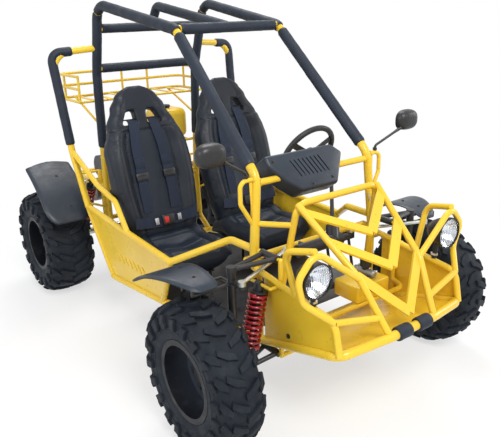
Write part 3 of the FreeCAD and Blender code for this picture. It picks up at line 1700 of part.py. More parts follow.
write("luggage_rack", luggage_rack())
write("rear_fenders", rear_fender(), mirrored(rear_fender()))
write("rear_axle", rear_axle())
rear_tyre = placed_rear(tyre(rear_tyre_radius, rear_tyre_width, rear_rim_half_width))
write("tyres_rear", rear_tyre, mirrored(rear_tyre))
rear_wheel = placed_rear(rear_rim())
write("rims_rear", rear_wheel, mirrored(rear_wheel))
for side_name, turn in (("left", lambda shape: shape), ("right", mirrored)):
    write("tyre_front_" + side_name, turn(placed_front(front_tyre())))
    write("rim_front_" + side_name, turn(placed_front(front_rim())))
    write("knuckle_" + side_name, turn(knuckle()))
    write("front_fender_" + side_name, turn(front_fender()))
    write("tie_rod_" + side_name, turn(tie_rod()))
write("rack_bar", rack_bar())
write("steering_wheel", steering_wheel())
write("steering_shaft", steering_shaft())
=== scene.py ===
import json
import math

import bmesh
import bpy
from mathutils import Matrix, Vector, noise
from mathutils.bvhtree import BVHTree
from mathutils.kdtree import KDTree


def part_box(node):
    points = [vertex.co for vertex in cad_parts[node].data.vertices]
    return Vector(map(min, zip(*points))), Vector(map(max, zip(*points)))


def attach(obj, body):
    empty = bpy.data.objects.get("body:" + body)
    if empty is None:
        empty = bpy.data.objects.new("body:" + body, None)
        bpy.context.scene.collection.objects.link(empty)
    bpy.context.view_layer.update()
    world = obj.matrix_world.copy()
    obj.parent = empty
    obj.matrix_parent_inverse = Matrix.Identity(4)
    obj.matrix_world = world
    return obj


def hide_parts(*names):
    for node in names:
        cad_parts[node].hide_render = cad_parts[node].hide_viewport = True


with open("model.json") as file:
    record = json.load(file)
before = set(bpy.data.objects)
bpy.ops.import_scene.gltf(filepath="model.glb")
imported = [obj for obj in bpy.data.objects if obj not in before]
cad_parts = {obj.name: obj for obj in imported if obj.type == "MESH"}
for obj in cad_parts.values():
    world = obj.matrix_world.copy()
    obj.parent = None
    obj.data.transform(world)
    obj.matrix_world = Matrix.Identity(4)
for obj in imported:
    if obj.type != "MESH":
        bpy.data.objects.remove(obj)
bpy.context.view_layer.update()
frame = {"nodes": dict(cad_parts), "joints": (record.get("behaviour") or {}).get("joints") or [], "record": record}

# Dune buggy, in metres. It faces -Y, its left side is +X and the ground is z = 0.

NODES = frame["nodes"]
JOINTS = {joint["name"]: joint for joint in frame["joints"]}
FRONT_AXLE_Y = JOINTS["wheel_spin_front_left"]["pos_m"][1]
FRONT_WHEEL = Vector(JOINTS["wheel_spin_front_left"]["pos_m"])
REAR_AXLE = Vector(JOINTS["rear_axle_spin"]["pos_m"])

LEFT = Vector((1, 0, 0))
RIGHT = Vector((-1, 0, 0))
BACKWARD = Vector((0, 1, 0))
UP = Vector((0, 0, 1))
DOWN = Vector((0, 0, -1))
AXES = (LEFT, BACKWARD, UP)
SIDES = (("left", 1), ("right", -1))
HEXAGON = 6


def at(x, back, z):
    """A point by its distance behind the front axle."""
    return Vector((x, FRONT_AXLE_Y + back, z))


# Materials

# The Mix node has several sockets of each name, so its colour sockets go by number.
MIX_FACTOR, MIX_FIRST, MIX_SECOND, MIX_RESULT = 0, 6, 7, 2


class Shading:
    """A Principled material and the few node shapes that this scene uses."""

    def __init__(self, name, colour, roughness, metallic=0.0):
        self.material = bpy.data.materials.new(name)
        self.material.use_nodes = True
        self.tree = self.material.node_tree
        self.shader = self.tree.nodes["Principled BSDF"]
        self.set("Base Color", (*colour, 1.0))
        self.set("Roughness", roughness)
        self.set("Metallic", metallic)
        self.place = self.tree.nodes.new("ShaderNodeTexCoord").outputs["Object"]

    def feed(self, socket, value):
        """Links a node's output to a socket, or gives the socket a plain value."""
        if isinstance(value, bpy.types.NodeSocket):
            self.tree.links.new(value, socket)
        else:
            socket.default_value = value

    def set(self, name, value):
        self.feed(self.shader.inputs[name], value)

    def node(self, kind, **inputs):
        made = self.tree.nodes.new(kind)
        for name, value in inputs.items():
            self.feed(made.inputs[name.replace("_", " ")], value)
        return made

    def noise(self, scale, detail=3.0, roughness=0.55, stretch=None):
        place = self.place
        if stretch is not None:
            place = self.node("ShaderNodeMapping", Vector=place, Scale=stretch).outputs["Vector"]
        made = self.node("ShaderNodeTexNoise", Vector=place, Scale=scale, Detail=detail,
                         Roughness=roughness)
        return made.outputs["Fac"]

    def cells(self, scale):
        made = self.node("ShaderNodeTexVoronoi", Vector=self.place, Scale=scale)
        return made.outputs["Distance"]

    def waves(self, scale, axis):
        made = self.node("ShaderNodeTexWave", Vector=self.place, Scale=scale)
        made.bands_direction = axis
        return made.outputs["Fac"]

    def spread(self, value, low, high, to_low, to_high):
        """Takes low..high of a value to to_low..to_high."""
        made = self.node("ShaderNodeMapRange", Value=value, From_Min=low, From_Max=high,
                         To_Min=to_low, To_Max=to_high)
        return made.outputs["Result"]

    def cloud(self, scale, detail, to_low=0.0, to_high=1.0):
        """Soft patches between two values."""
        return self.spread(self.noise(scale, detail), 0.3, 0.7, to_low, to_high)

    def mix(self, factor, first, second):
        made = self.tree.nodes.new("ShaderNodeMix")
        made.data_type = "RGBA"
        self.feed(made.inputs[MIX_FACTOR], factor)
        for index, value in ((MIX_FIRST, first), (MIX_SECOND, second)):
            is_socket = isinstance(value, bpy.types.NodeSocket)
            self.feed(made.inputs[index], value if is_socket else (*value, 1.0))
        return made.outputs[MIX_RESULT]

    def bump(self, height, distance, strength=1.0):
        """Adds one more layer of relief to those the shader already has."""
        made = self.node("ShaderNodeBump", Height=height, Distance=distance, Strength=strength)
        normal = self.shader.inputs["Normal"]
        if normal.is_linked:
            self.tree.links.new(normal.links[0].from_socket, made.inputs["Normal"])
        self.tree.links.new(made.outputs["Normal"], normal)

    # Ambient occlusion, low in crevices: the yellow paints shade by it, and the rims paint light by it.
    def crevice(self, distance):
        made = self.node("ShaderNodeAmbientOcclusion", Distance=distance)
        made.samples = 4
        return made.outputs["AO"]


def powder_yellow():
    look = Shading("powder_yellow", (0.80, 0.52, 0.03), 0.3)
    cloud = look.spread(look.noise(2.2, 2.0), 0.35, 0.65, 0.0, 1.0)
    unshaded_yellow = look.mix(cloud, (0.83, 0.56, 0.036), (0.76, 0.485, 0.026))
    # Painted shade: a darker ochre in crevices and tube joints, where ambient occlusion is low.
    crevice_shade = look.spread(look.crevice(0.03), 0.15, 0.75, 0.75, 0.0)
    shaded_yellow = look.mix(crevice_shade, unshaded_yellow, (0.40, 0.215, 0.012))
    chips = look.spread(look.noise(75.0, 2.0, 0.4), 0.735, 0.76, 0.0, 0.55)
    look.set("Base Color", look.mix(chips, shaded_yellow, (0.20, 0.12, 0.02)))
    look.set("Roughness", look.cloud(9.0, 4.0, 0.24, 0.38))
    look.set("Coat Weight", 0.12)
    look.set("Coat Roughness", 0.12)
    look.set("Specular IOR Level", 0.4)
    look.bump(look.noise(420.0, 1.0), 0.0002, 0.35)
    return look.material


def closed_foam():
    look = Shading("closed_foam", (0.011, 0.015, 0.022), 0.6)
    skin = look.mix(look.cloud(6.0, 4.0), (0.008, 0.013, 0.024), (0.014, 0.022, 0.038))
    scuffs = look.spread(look.noise(34.0, 5.0, 0.7, (1.0, 0.35, 1.0)), 0.66, 0.74, 0.0, 0.5)
    look.set("Base Color", look.mix(scuffs, skin, (0.070, 0.088, 0.12)))
    look.set("Roughness", look.cloud(22.0, 3.0, 0.46, 0.66))
    look.set("Specular IOR Level", 0.35)
    look.bump(look.noise(650.0, 2.0), 0.0004, 0.5)
    look.bump(look.noise(28.0, 3.0), 0.0018, 0.5)
    return look.material


def seat_vinyl(name, colour, edge, roughness):
    look = Shading(name, colour, roughness)
    look.set("Base Color", look.mix(look.cloud(5.0, 3.0), colour, edge))
    look.set("Roughness", look.cloud(14.0, 3.0, roughness - 0.07, roughness + 0.1))
    look.set("Specular IOR Level", 0.32)
    look.bump(look.cells(720.0), 0.0005, 0.45)
    look.bump(look.noise(11.0, 2.0), 0.0025, 0.35)
    return look.material


def woven_belt():
    look = Shading("woven_belt", (0.015, 0.023, 0.045), 0.62)
    weave = look.mix(0.5, look.waves(260.0, "X"), look.waves(420.0, "Z"))
    look.set("Base Color", look.mix(weave, (0.009, 0.014, 0.028), (0.023, 0.034, 0.063)))
    look.set("Specular IOR Level", 0.25)
    look.bump(weave, 0.0006, 0.8)
    return look.material


def moulded_plastic(name, colour, light, roughness):
    look = Shading(name, colour, roughness)
    base = look.mix(look.cloud(4.0, 3.0), colour, light)
    dust = look.spread(look.noise(60.0, 5.0, 0.7), 0.6, 0.75, 0.0, 0.35)
    look.set("Base Color", look.mix(dust, base, (0.085, 0.10, 0.125)))
    look.set("Specular IOR Level", 0.4)
    look.set("Roughness", look.cloud(26.0, 3.0, roughness - 0.06, roughness + 0.1))
    look.bump(look.noise(900.0, 2.0), 0.0002, 0.4)
    return look.material


def black_coat():
    look = Shading("black_coat", (0.012, 0.012, 0.013), 0.34)
    look.set("Base Color", look.mix(look.cloud(7.0, 3.0), (0.010, 0.010, 0.011),
                                    (0.022, 0.022, 0.024)))
    look.set("Roughness", look.cloud(16.0, 4.0, 0.26, 0.46))
    look.bump(look.noise(420.0, 1.0), 0.0002, 0.35)
    return look.material


def gloss_black():
    look = Shading("gloss_black", (0.014, 0.016, 0.022), 0.34)
    dust = look.spread(look.noise(30.0, 5.0, 0.7), 0.55, 0.75, 0.0, 0.4)
    # Painted light: a lighter blue-grey inside the rim's recesses, where ambient occlusion is low, and near black
    # on the open flange.
    recess_light = look.spread(look.crevice(0.10), 0.25, 0.80, 1.0, 0.0)
    base = look.mix(recess_light, (0.007, 0.008, 0.011), (0.085, 0.098, 0.125))
    look.set("Base Color", look.mix(dust, base, (0.045, 0.048, 0.052)))
    look.set("Roughness", look.cloud(18.0, 4.0, 0.30, 0.48))
    look.set("Specular IOR Level", 0.2)
    return look.material


def spring_paint():
    look = Shading("spring_paint", (0.30, 0.005, 0.012), 0.25)
    look.set("Base Color", look.mix(look.cloud(12.0, 3.0), (0.36, 0.006, 0.014),
                                    (0.22, 0.004, 0.010)))
    look.set("Coat Weight", 0.5)
    look.bump(look.noise(300.0, 1.0), 0.0002, 0.3)
    return look.material


def metal(name, colour, dark, roughness):
    look = Shading(name, colour, roughness, 1.0)
    look.set("Base Color", look.mix(look.cloud(14.0, 4.0), colour, dark))
    look.set("Roughness", look.cloud(40.0, 4.0, roughness - 0.08, roughness + 0.14))
    look.bump(look.noise(500.0, 2.0), 0.0002, 0.4)
    return look.material


def tyre_rubber():
    look = Shading("tyre_rubber", (0.008, 0.010, 0.014), 0.72)
    base = look.mix(look.cloud(7.0, 4.0), (0.005, 0.0075, 0.012), (0.011, 0.016, 0.024))
    dust = look.spread(look.noise(45.0, 6.0, 0.7), 0.5, 0.75, 0.0, 0.35)
    look.set("Base Color", look.mix(dust, base, (0.034, 0.042, 0.052)))
    look.set("Roughness", look.cloud(20.0, 3.0, 0.55, 0.8))
    look.set("Specular IOR Level", 0.25)
    look.bump(look.noise(350.0, 3.0), 0.0004, 0.5)
    return look.material


def clear_lens():
    look = Shading("clear_lens", (0.95, 0.97, 1.0), 0.03)
    look.set("Transmission Weight", 1.0)
    look.set("IOR", 1.45)
    look.bump(look.waves(42.0, "X"), 0.0008, 0.35)
    return look.material


def mirror_chrome():
    look = Shading("mirror_chrome", (0.93, 0.94, 0.96), 0.06, 1.0)
    look.bump(look.noise(30.0, 2.0), 0.0003, 0.15)
    return look.material


def red_plastic():
    look = Shading("red_plastic", (0.55, 0.02, 0.015), 0.35)
    look.bump(look.noise(300.0, 2.0), 0.0002, 0.3)
    return look.material


LOOKS = {
    "frame_yellow": powder_yellow(),
    "foam_black": closed_foam(),
    "frame_black": black_coat(),
    "body_plastic": moulded_plastic("body_plastic_look", (0.013, 0.019, 0.030),
                                    (0.021, 0.030, 0.045), 0.36),
    "seat_vinyl": seat_vinyl("seat_vinyl_look", (0.0055, 0.008, 0.014),
                             (0.010, 0.015, 0.024), 0.42),
    "webbing": woven_belt(),
    "lamp_plastic": moulded_plastic("lamp_plastic_look", (0.014, 0.014, 0.015),
                                    (0.026, 0.026, 0.028), 0.38),
    "lamp_glass": clear_lens(),
    "spring_red": spring_paint(),
    "zinc_steel": metal("zinc_steel_look", (0.66, 0.67, 0.62), (0.48, 0.49, 0.46), 0.34),
    "cast_alloy": metal("cast_alloy_look", (0.46, 0.46, 0.47), (0.30, 0.30, 0.31), 0.5),
    "exhaust_steel": metal("exhaust_steel_look", (0.25, 0.24, 0.23), (0.13, 0.12, 0.115), 0.48),
    "rim_black": gloss_black(),
    "tyre_rubber": tyre_rubber(),
    "grip_black": moulded_plastic("grip_look", (0.016, 0.016, 0.018),
                                  (0.030, 0.030, 0.033), 0.5),
}
YELLOW = LOOKS["frame_yellow"]
BODY_PLASTIC = LOOKS["body_plastic"]
VINYL = LOOKS["seat_vinyl"]
LAMP_PLASTIC = LOOKS["lamp_plastic"]
ALLOY = LOOKS["cast_alloy"]
RUBBER = LOOKS["tyre_rubber"]
CLEAR = LOOKS["lamp_glass"]
PANEL_VINYL = seat_vinyl("panel_vinyl", (0.009, 0.014, 0.024), (0.014, 0.021, 0.034), 0.40)
CHROME = mirror_chrome()
RED_PLASTIC = red_plastic()
BRIGHT_STEEL = metal("bright_steel", (0.75, 0.75, 0.74), (0.60, 0.60, 0.60), 0.25)

# These nodes are black in the photograph, whatever their slot says.
DARK_METAL = ("steering_shaft", "rack_housing", "shock_absorbers", "rack_bar")

for entry in frame["record"]["subparts"]:
    look_name = "frame_black" if entry["node"] in DARK_METAL else entry["material_slot"]
    for place in NODES[entry["node"]].material_slots:
        place.material = LOOKS[look_name]


# Mesh building


def linked(name, data):
    """A new object in the scene."""
    made = bpy.data.objects.new(name, data)
    bpy.context.scene.collection.objects.link(made)
    return made


def smoothed(made):
    for face in made.data.polygons:
        face.use_smooth = True
    return made


def solid(name, points, faces, material, smooth=True):
    """An object from points, faces and one material."""
    mesh = bpy.data.meshes.new(name)
    mesh.from_pydata([tuple(point) for point in points], [], faces)
    mesh.validate()
    mesh.materials.append(material)
    made = linked(name, mesh)
    return smoothed(made) if smooth else made


def flipped(point):
    return Vector((-point.x, point.y, point.z))


def at_height(low, high, z):
    """The place at a height on the line through two points."""
    return low.lerp(high, (z - low.z) / (high.z - low.z))


def on_side(points, sign):
    """Points of the left side as they are, or their mirror images on the right."""
    return [point if sign > 0 else flipped(point) for point in points]


def mirrored(source, name):
    """A copy of a piece across the buggy's middle plane, with its faces turned out again."""
    mesh = source.data.copy()
    mesh.transform(Matrix.Scale(-1, 4, LEFT))
    mesh.flip_normals()
    return linked(name, mesh)


def outward(made):
    """Turns a piece's faces out."""
    build = bmesh.new()
    build.from_mesh(made.data)
    bmesh.ops.recalc_face_normals(build, faces=build.faces)
    build.to_mesh(made.data)
    build.free()
    return made


def loft_faces(rings, sides, turned=False):
    """A face at each end and the quads between rings of points. Turned swaps their two sides."""
    last = (rings - 1) * sides
    ends = [tuple(range(sides)), tuple(range(last + sides - 1, last - 1, -1))]
    faces = [end[::-1] for end in ends] if turned else ends
    for start in range(0, last, sides):
        for side in range(sides):
            here, after = start + side, start + (side + 1) % sides
            if turned:
                faces.append((here, after, after + sides, here + sides))
            else:
                faces.append((after, here, here + sides, after + sides))
    return faces


def loft(name, rings, material):
    """A closed skin over rings of the same number of points."""
    points = [point for ring in rings for point in ring]
    return outward(solid(name, points, loft_faces(len(rings), len(rings[0])), material))


def round_place(turn, side, other):
    """The direction at an angle from one unit vector towards another."""
    return side * math.cos(turn) + other * math.sin(turn)


def lathe(name, profile, steps, centre, axis, material):
    """A closed profile of (along, out) pairs, turned about an axis."""
    axis = Vector(axis).normalized()
    side = axis.orthogonal().normalized()
    other = axis.cross(side)
    points = []
    for step in range(steps):
        out = round_place(2 * math.pi * step / steps, side, other)
        points += [centre + axis * along + out * radius for along, radius in profile]
    count = len(profile)
    faces = []
    for step in range(steps):
        here = step * count
        there = (step + 1) % steps * count
        for index in range(count):
            after = (index + 1) % count
            faces.append((here + index, there + index, there + after, here + after))
    return solid(name, points, faces, material)


# Forms with soft edges stay smooth up to this angle.
SOFT_ANGLE = 1.2


def sharpen(made, angle):
    """Keeps the edges above an angle crisp, and the rest smooth."""
    made.data.set_sharp_from_angle(angle=angle)


def applied(made):
    """Makes a piece's modifiers part of its mesh."""
    graph = bpy.context.evaluated_depsgraph_get()
    mesh = bpy.data.meshes.new_from_object(made.evaluated_get(graph))
    made.modifiers.clear()
    made.data = mesh
    return made


def bevelled(made, width, segments=2, limit=None):
    """Rounds a piece's edges above an angle, which is Blender's own where none is given."""
    tool = made.modifiers.new("edge", "BEVEL")
    tool.width = width
    tool.segments = segments
    tool.limit_method = "ANGLE"
    tool.harden_normals = False
    if limit is not None:
        tool.angle_limit = limit
    return applied(made)


def subdivided(made):
    tool = made.modifiers.new("round", "SUBSURF")
    tool.levels = 1
    tool.render_levels = 1
    return applied(made)


def cut_by(made, tool):
    """Takes one piece out of another, and deletes it."""
    cutter = made.modifiers.new("cut", "BOOLEAN")
    cutter.operation = "DIFFERENCE"
    cutter.solver = "EXACT"
    cutter.object = tool
    applied(made)
    bpy.data.objects.remove(tool)


def neighbours(path):
    """Each point of a path with its place in it and the direction of the path there."""
    for index, spot in enumerate(path):
        before = path[max(index - 1, 0)]
        after = path[min(index + 1, len(path) - 1)]
        yield index, spot, (after - before).normalized()


def swept(name, path, radii, sides, material):
    """A tube along points, with a radius at each and a flat face at both ends."""
    points = []
    normal = (path[1] - path[0]).normalized().orthogonal().normalized()
    for index, spot, run in neighbours(path):
        normal = (normal - run * normal.dot(run)).normalized()
        across = run.cross(normal)
        for side in range(sides):
            out = round_place(2 * math.pi * side / sides, normal, across)
            points.append(spot + out * radii[index])
    return solid(name, points, loft_faces(len(path), sides, turned=True), material)


def piping(name, path, radius, material, sides=8):
    """A tube of one radius."""
    return swept(name, path, [radius] * len(path), sides, material)


def block(name, centre, axes, sizes, material, edge):
    """A block with its own right-handed axes and rounded edges."""
    points = []
    for x in (-0.5, 0.5):
        for y in (-0.5, 0.5):
            for z in (-0.5, 0.5):
                points.append(centre + axes[0] * (x * sizes[0]) + axes[1] * (y * sizes[1])
                              + axes[2] * (z * sizes[2]))
    faces = [(0, 1, 3, 2), (4, 6, 7, 5), (0, 4, 5, 1), (2, 3, 7, 6), (0, 2, 6, 4), (1, 5, 7, 3)]
    return smoothed(bevelled(solid(name, points, faces, material), edge))


def ease(value):
    """Goes smoothly from 0 to 1, and stays there outside."""
    value = min(max(value, 0.0), 1.0)
    return value * value * (3 - 2 * value)


def curve_value(stops, place):
    """A smooth value between (place, value) pairs."""
    for (low, first), (high, second) in zip(stops, stops[1:]):
        if place <= high:
            return first + (second - first) * ease((place - low) / (high - low))
    return stops[-1][1]


def join(name, parts):
    """One piece made of several meshes, which keeps each one's material."""
    mesh = bpy.data.meshes.new(name)
    build = bmesh.new()
    materials = []
    for part in parts:
        for material in part.data.materials:
            if material not in materials:
                materials.append(material)
        start = len(build.faces)
        build.from_mesh(part.data)
        build.faces.ensure_lookup_table()
        for face in build.faces[start:]:
            face.material_index = materials.index(part.data.materials[face.material_index])
    build.to_mesh(mesh)
    build.free()
    for material in materials:
        mesh.materials.append(material)
    for part in parts:
        bpy.data.objects.remove(part)
    return linked(name, mesh)


def surface_of(made):
    """A piece's surface, to look for places on."""
    mesh = made.data
    return BVHTree.FromPolygons([point.co for point in mesh.vertices],
                                [face.vertices[:] for face in mesh.polygons])


def declared(made, body="root", node=None):
    if node is not None:
        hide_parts(node)
    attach(made, body)
    return made


def assembled(name, parts, angle, body="root", node=None):
    made = join(name, parts)
    sharpen(made, angle)
    return declared(made, body, node)


# Tyres

LUG_HEIGHT = 0.011
TYRE_STEPS = 144
REAR_TRACK_HALF = 0.497
REAR_TYRE_WIDTH = 0.238
FRONT_TYRE_WIDTH = 0.172
FRONT_RIM_HALF = 0.072
REAR_RIM_HALF = 0.100
FLANGE_RADIUS = 0.142
BEAD_RADIUS = 0.1275
FRONT_PITCHES = 20
REAR_PITCHES = 18
PROFILE_TO_BULGE = 8
# The blocks' outlines, from the middle of the tread to its shoulder: (across, pitch) shares.
LUG_OUTLINES = (
    [(-0.02, 0.0), (0.17, 0.13), (0.31, 0.42), (0.29, 0.66), (0.11, 0.40), (-0.02, 0.26)],
    [(0.30, 0.02), (0.47, 0.22), (0.60, 0.50), (0.54, 0.74), (0.40, 0.55), (0.28, 0.28)],
    [(0.62, 0.10), (0.80, 0.16), (1.0, 0.14), (1.0, 0.56), (0.82, 0.62), (0.66, 0.50)],
)
# Rings on the sidewall: how far up it, and how thick.
WALL_RINGS = ((0.30, 0.0022), (0.52, 0.0016))


def tyre_profile(radius, width, rim_half):
    """Half of the carcass, as (across, out) pairs from the bead to the crown."""
    shoulder = width / 2
    wall = radius - FLANGE_RADIUS
    return [
        (rim_half - 0.006, BEAD_RADIUS),
        (rim_half - 0.0045, FLANGE_RADIUS + 0.001),
        (rim_half + (shoulder - rim_half) * 0.35, FLANGE_RADIUS + wall * 0.06),
        (rim_half + (shoulder - rim_half) * 0.78, FLANGE_RADIUS + wall * 0.20),
        (shoulder * 0.985, FLANGE_RADIUS + wall * 0.38),
        (shoulder, FLANGE_RADIUS + wall * 0.52),
        (shoulder * 0.985, FLANGE_RADIUS + wall * 0.66),
        (shoulder * 0.94, FLANGE_RADIUS + wall * 0.79),
        (shoulder * 0.84, FLANGE_RADIUS + wall * 0.885),
        (shoulder * 0.62, FLANGE_RADIUS + wall * 0.955),
        (shoulder * 0.32, FLANGE_RADIUS + wall * 0.99),
        (0.0, radius),
    ]


def carcass_point(profile, share):
    """A place on the carcass, from 0 at the crown to 1 just under the bulge, and its way out."""
    sign = 1 if share >= 0 else -1
    outline = list(reversed(profile))[:PROFILE_TO_BULGE]
    place = min(abs(share), 1.0) * (len(outline) - 1)
    index = min(int(place), len(outline) - 2)
    first, last = Vector(outline[index]), Vector(outline[index + 1])
    spot = first.lerp(last, place - index)
    run = (last - first).normalized()
    out = Vector((-run.y, run.x))
    if out.y < 0 and abs(share) < 0.5:
        out = -out
    if out.x < 0:
        out = -out
    return Vector((spot.x * sign, spot.y)), Vector((out.x * sign, out.y))


def lug_block(build, profile, outline, turn, height):
    """One tread block. Its outline is (across share, turn) pairs, and its top is the smaller."""
    middle_share = sum(share for share, _ in outline) / len(outline)
    middle_turn = sum(angle for _, angle in outline) / len(outline)
    rings = []
    for grow, lift in ((1.0, -0.003), (0.97, height * 0.75), (0.86, height)):
        ring = []
        for share, angle in outline:
            spot, out = carcass_point(profile, middle_share + (share - middle_share) * grow)
            along = middle_turn + (angle - middle_turn) * grow + turn
            spot = spot + out * lift
            ring.append(build.verts.new((spot.x, -spot.y * math.sin(along),
                                         spot.y * math.cos(along))))
        rings.append(ring)
    for low, high in zip(rings, rings[1:]):
        for index in range(len(low)):
            after = (index + 1) % len(low)
            build.faces.new((low[index], low[after], high[after], high[index]))
    build.faces.new(rings[-1])


def tread_blocks(name, half, pitch_count):
    """Three rows of blocks on each side of the middle, the two sides half a pitch apart."""
    blocks = bmesh.new()
    pitch = 2 * math.pi / pitch_count
    for step in range(pitch_count):
        for sign, shift in ((1, 0.0), (-1, 0.5)):
            for outline in LUG_OUTLINES:
                placed = [(share * sign, angle * pitch) for share, angle in outline]
                if sign < 0:
                    placed.reverse()
                lug_block(blocks, half, placed, (step + shift) * pitch, LUG_HEIGHT)
    bmesh.ops.recalc_face_normals(blocks, faces=blocks.faces)
    mesh = bpy.data.meshes.new(name)
    blocks.to_mesh(mesh)
    blocks.free()
    mesh.materials.append(RUBBER)
    return smoothed(linked(name, mesh))


def wall_ring(half, out, thick, sign):
    """A moulded ring that stands a little out of the sidewall."""
    across = curve_value([(b, a) for a, b in half[1:]], out) - 0.0004
    profile = [(sign * across + thick * math.cos(turn * math.pi / 4),
                out + thick * 1.6 * math.sin(turn * math.pi / 4)) for turn in range(8)]
    return lathe("wall_ring", profile, TYRE_STEPS, Vector(), LEFT, RUBBER)


def tyre(name, width, rim_half, centre, pitch_count, sign, node, body):
    """A knobbly tyre that reaches the ground: carcass, sidewall rings and blocks."""
    carcass_radius = centre.z - LUG_HEIGHT
    half = tyre_profile(carcass_radius, width - 0.012, rim_half)
    profile = [(-across, out) for across, out in half] + list(reversed(half))[1:]
    carcass = lathe(name + "_carcass", profile, TYRE_STEPS, Vector(), LEFT, RUBBER)
    parts = [subdivided(carcass), tread_blocks(name + "_blocks", half, pitch_count)]
    for side in (-1, 1):
        for share, thick in WALL_RINGS:
            out = FLANGE_RADIUS + (carcass_radius - FLANGE_RADIUS) * share
            parts.append(wall_ring(half, out, thick, side))
    made = join(name, parts)
    sharpen(made, 0.7)
    if sign < 0:
        made.data.transform(Matrix.Rotation(math.pi, 4, "Z"))
    made.data.transform(Matrix.Translation(centre))
    declared(made, body, node)


def make_tyres():
    for side_name, sign in SIDES:
        tyre("tread_front_" + side_name, FRONT_TYRE_WIDTH, FRONT_RIM_HALF,
             Vector((FRONT_WHEEL.x * sign, FRONT_WHEEL.y, FRONT_WHEEL.z)), FRONT_PITCHES, sign,
             "tyre_front_" + side_name, "wheel_front_" + side_name)
        tyre("tread_rear_" + side_name, REAR_TYRE_WIDTH, REAR_RIM_HALF,
             Vector((REAR_TRACK_HALF * sign, REAR_AXLE.y, REAR_AXLE.z)), REAR_PITCHES, sign,
             "tyres_rear", "rear_axle")


# Seats

SEAT_X = 0.233
SEAT_RECLINE = math.radians(16.0)
SEAT_THICKNESS = 0.085
SEAT_LENGTH = 0.690
# Half width, side bolster and depth of the seat back, from its foot (0) to its top (1).
SEAT_WIDTH_STOPS = [(0.0, 0.176), (0.12, 0.192), (0.35, 0.208), (0.58, 0.206), (0.74, 0.172),
                    (0.86, 0.136), (0.94, 0.104), (0.985, 0.062), (1.0, 0.030)]
SEAT_BOLSTER_STOPS = [(0.0, 0.030), (0.2, 0.040), (0.5, 0.044), (0.66, 0.034), (0.80, 0.014),
                      (1.0, 0.006)]
SEAT_DEPTH_STOPS = [(0.0, 0.078), (0.3, 0.070), (0.6, 0.062), (0.85, 0.050), (0.97, 0.036),
                    (1.0, 0.014)]
SEAT_UP = Vector((0, math.sin(SEAT_RECLINE), math.cos(SEAT_RECLINE)))
SEAT_REAR = Vector((0, math.cos(SEAT_RECLINE), -math.sin(SEAT_RECLINE)))
SEAT_AXES = (LEFT, SEAT_UP, SEAT_REAR)
CUSHION_PANEL_HALF = 0.105
BELT_HOLE_CORNERS = [(-0.028, -0.026), (0.050, -0.028), (0.020, 0.030), (-0.022, 0.037)]
VOXEL = 0.006
CLOTH_PRESSURE = 4.0
CLOTH_FRAMES = 20
SEAM_DEPTH = 0.0045


def bolster_share(across):
    """How far the side bolster stands up at a share of the half width."""
    return (ease((abs(across) - 0.50) / 0.26)
            * (1 - 0.35 * ease((abs(across) - 0.86) / 0.14)))


def seat_point(base, across, high, inward):
    """A place in the seat back, by shares of its half width and height, and its depth."""
    width = curve_value(SEAT_WIDTH_STOPS, high)
    return (base + Vector((across * width, 0, 0)) + SEAT_UP * (high * SEAT_LENGTH)
            + SEAT_REAR * inward)


def seat_edge(across):
    """How thick the seat back is at a share of its half width: full in the middle."""
    return (1 - abs(across) ** 5) ** 0.5


def seat_front_point(base, across, high, lift=0.0):
    """A place on the front of the seat back, or a lift in front of it."""
    depth = curve_value(SEAT_DEPTH_STOPS, high)
    bolster = curve_value(SEAT_BOLSTER_STOPS, high)
    edge = seat_edge(across)
    inward = SEAT_THICKNESS / 2 - depth / 2 * edge - bolster * bolster_share(across) * edge ** 0.5
    inward += 0.010 * (1 - ease(abs(across) / 0.5)) * (1 - high)
    return seat_point(base, across, high, inward - lift)


def seat_rear_point(base, across, high):
    depth = curve_value(SEAT_DEPTH_STOPS, high)
    return seat_point(base, across, high, SEAT_THICKNESS / 2 + depth / 2 * seat_edge(across))


def seat_back(base):
    """The plain form of a high-backed bucket: a loop of points at each height."""
    rows, columns = 48, 40
    points = []
    for row in range(rows + 1):
        for column in range(2 * columns):
            across = -math.cos(math.pi * column / columns)
            place = seat_front_point if column < columns else seat_rear_point
            points.append(place(base, across, row / rows))
    faces = loft_faces(rows + 1, 2 * columns, turned=True)
    return solid("seat_shell", points, faces, VINYL)


def belt_hole(base, sign):
    """The cutter for one belt hole: four-sided, slanting down and outwards."""
    middle = base + SEAT_UP * (SEAT_LENGTH * 0.79) + Vector((sign * 0.052, 0, 0))
    points = []
    for depth in (-0.05, SEAT_THICKNESS + 0.05):
        points += [middle + Vector((sign * x, 0, 0)) + SEAT_UP * z + SEAT_REAR * depth
                   for x, z in BELT_HOLE_CORNERS]
    faces = [(0, 1, 2, 3), (7, 6, 5, 4), (0, 4, 5, 1), (1, 5, 6, 2), (2, 6, 7, 3), (3, 7, 4, 0)]
    return outward(solid("belt_hole_cutter", points, faces, LAMP_PLASTIC))


def plumped(made, cap):
    """Remeshes a cushion, blows it up as cloth with no gravity and caps how far points move."""
    tool = made.modifiers.new("voxels", "REMESH")
    tool.mode = "VOXEL"
    tool.voxel_size = VOXEL
    applied(made)
    rest = [point.co.copy() for point in made.data.vertices]
    cloth = made.modifiers.new("cloth", "CLOTH")
    cloth.settings.quality = 4
    cloth.settings.use_pressure = True
    cloth.settings.uniform_pressure_force = CLOTH_PRESSURE
    cloth.settings.effector_weights.gravity = 0.0
    for frame_number in range(1, CLOTH_FRAMES + 1):
        bpy.context.scene.frame_set(frame_number)
    applied(made)
    bpy.context.scene.frame_set(1)
    for point, start in zip(made.data.vertices, rest):
        move = point.co - start
        if move.length > cap:
            point.co = start + move * (cap / move.length)
    return smoothed(subdivided(made))


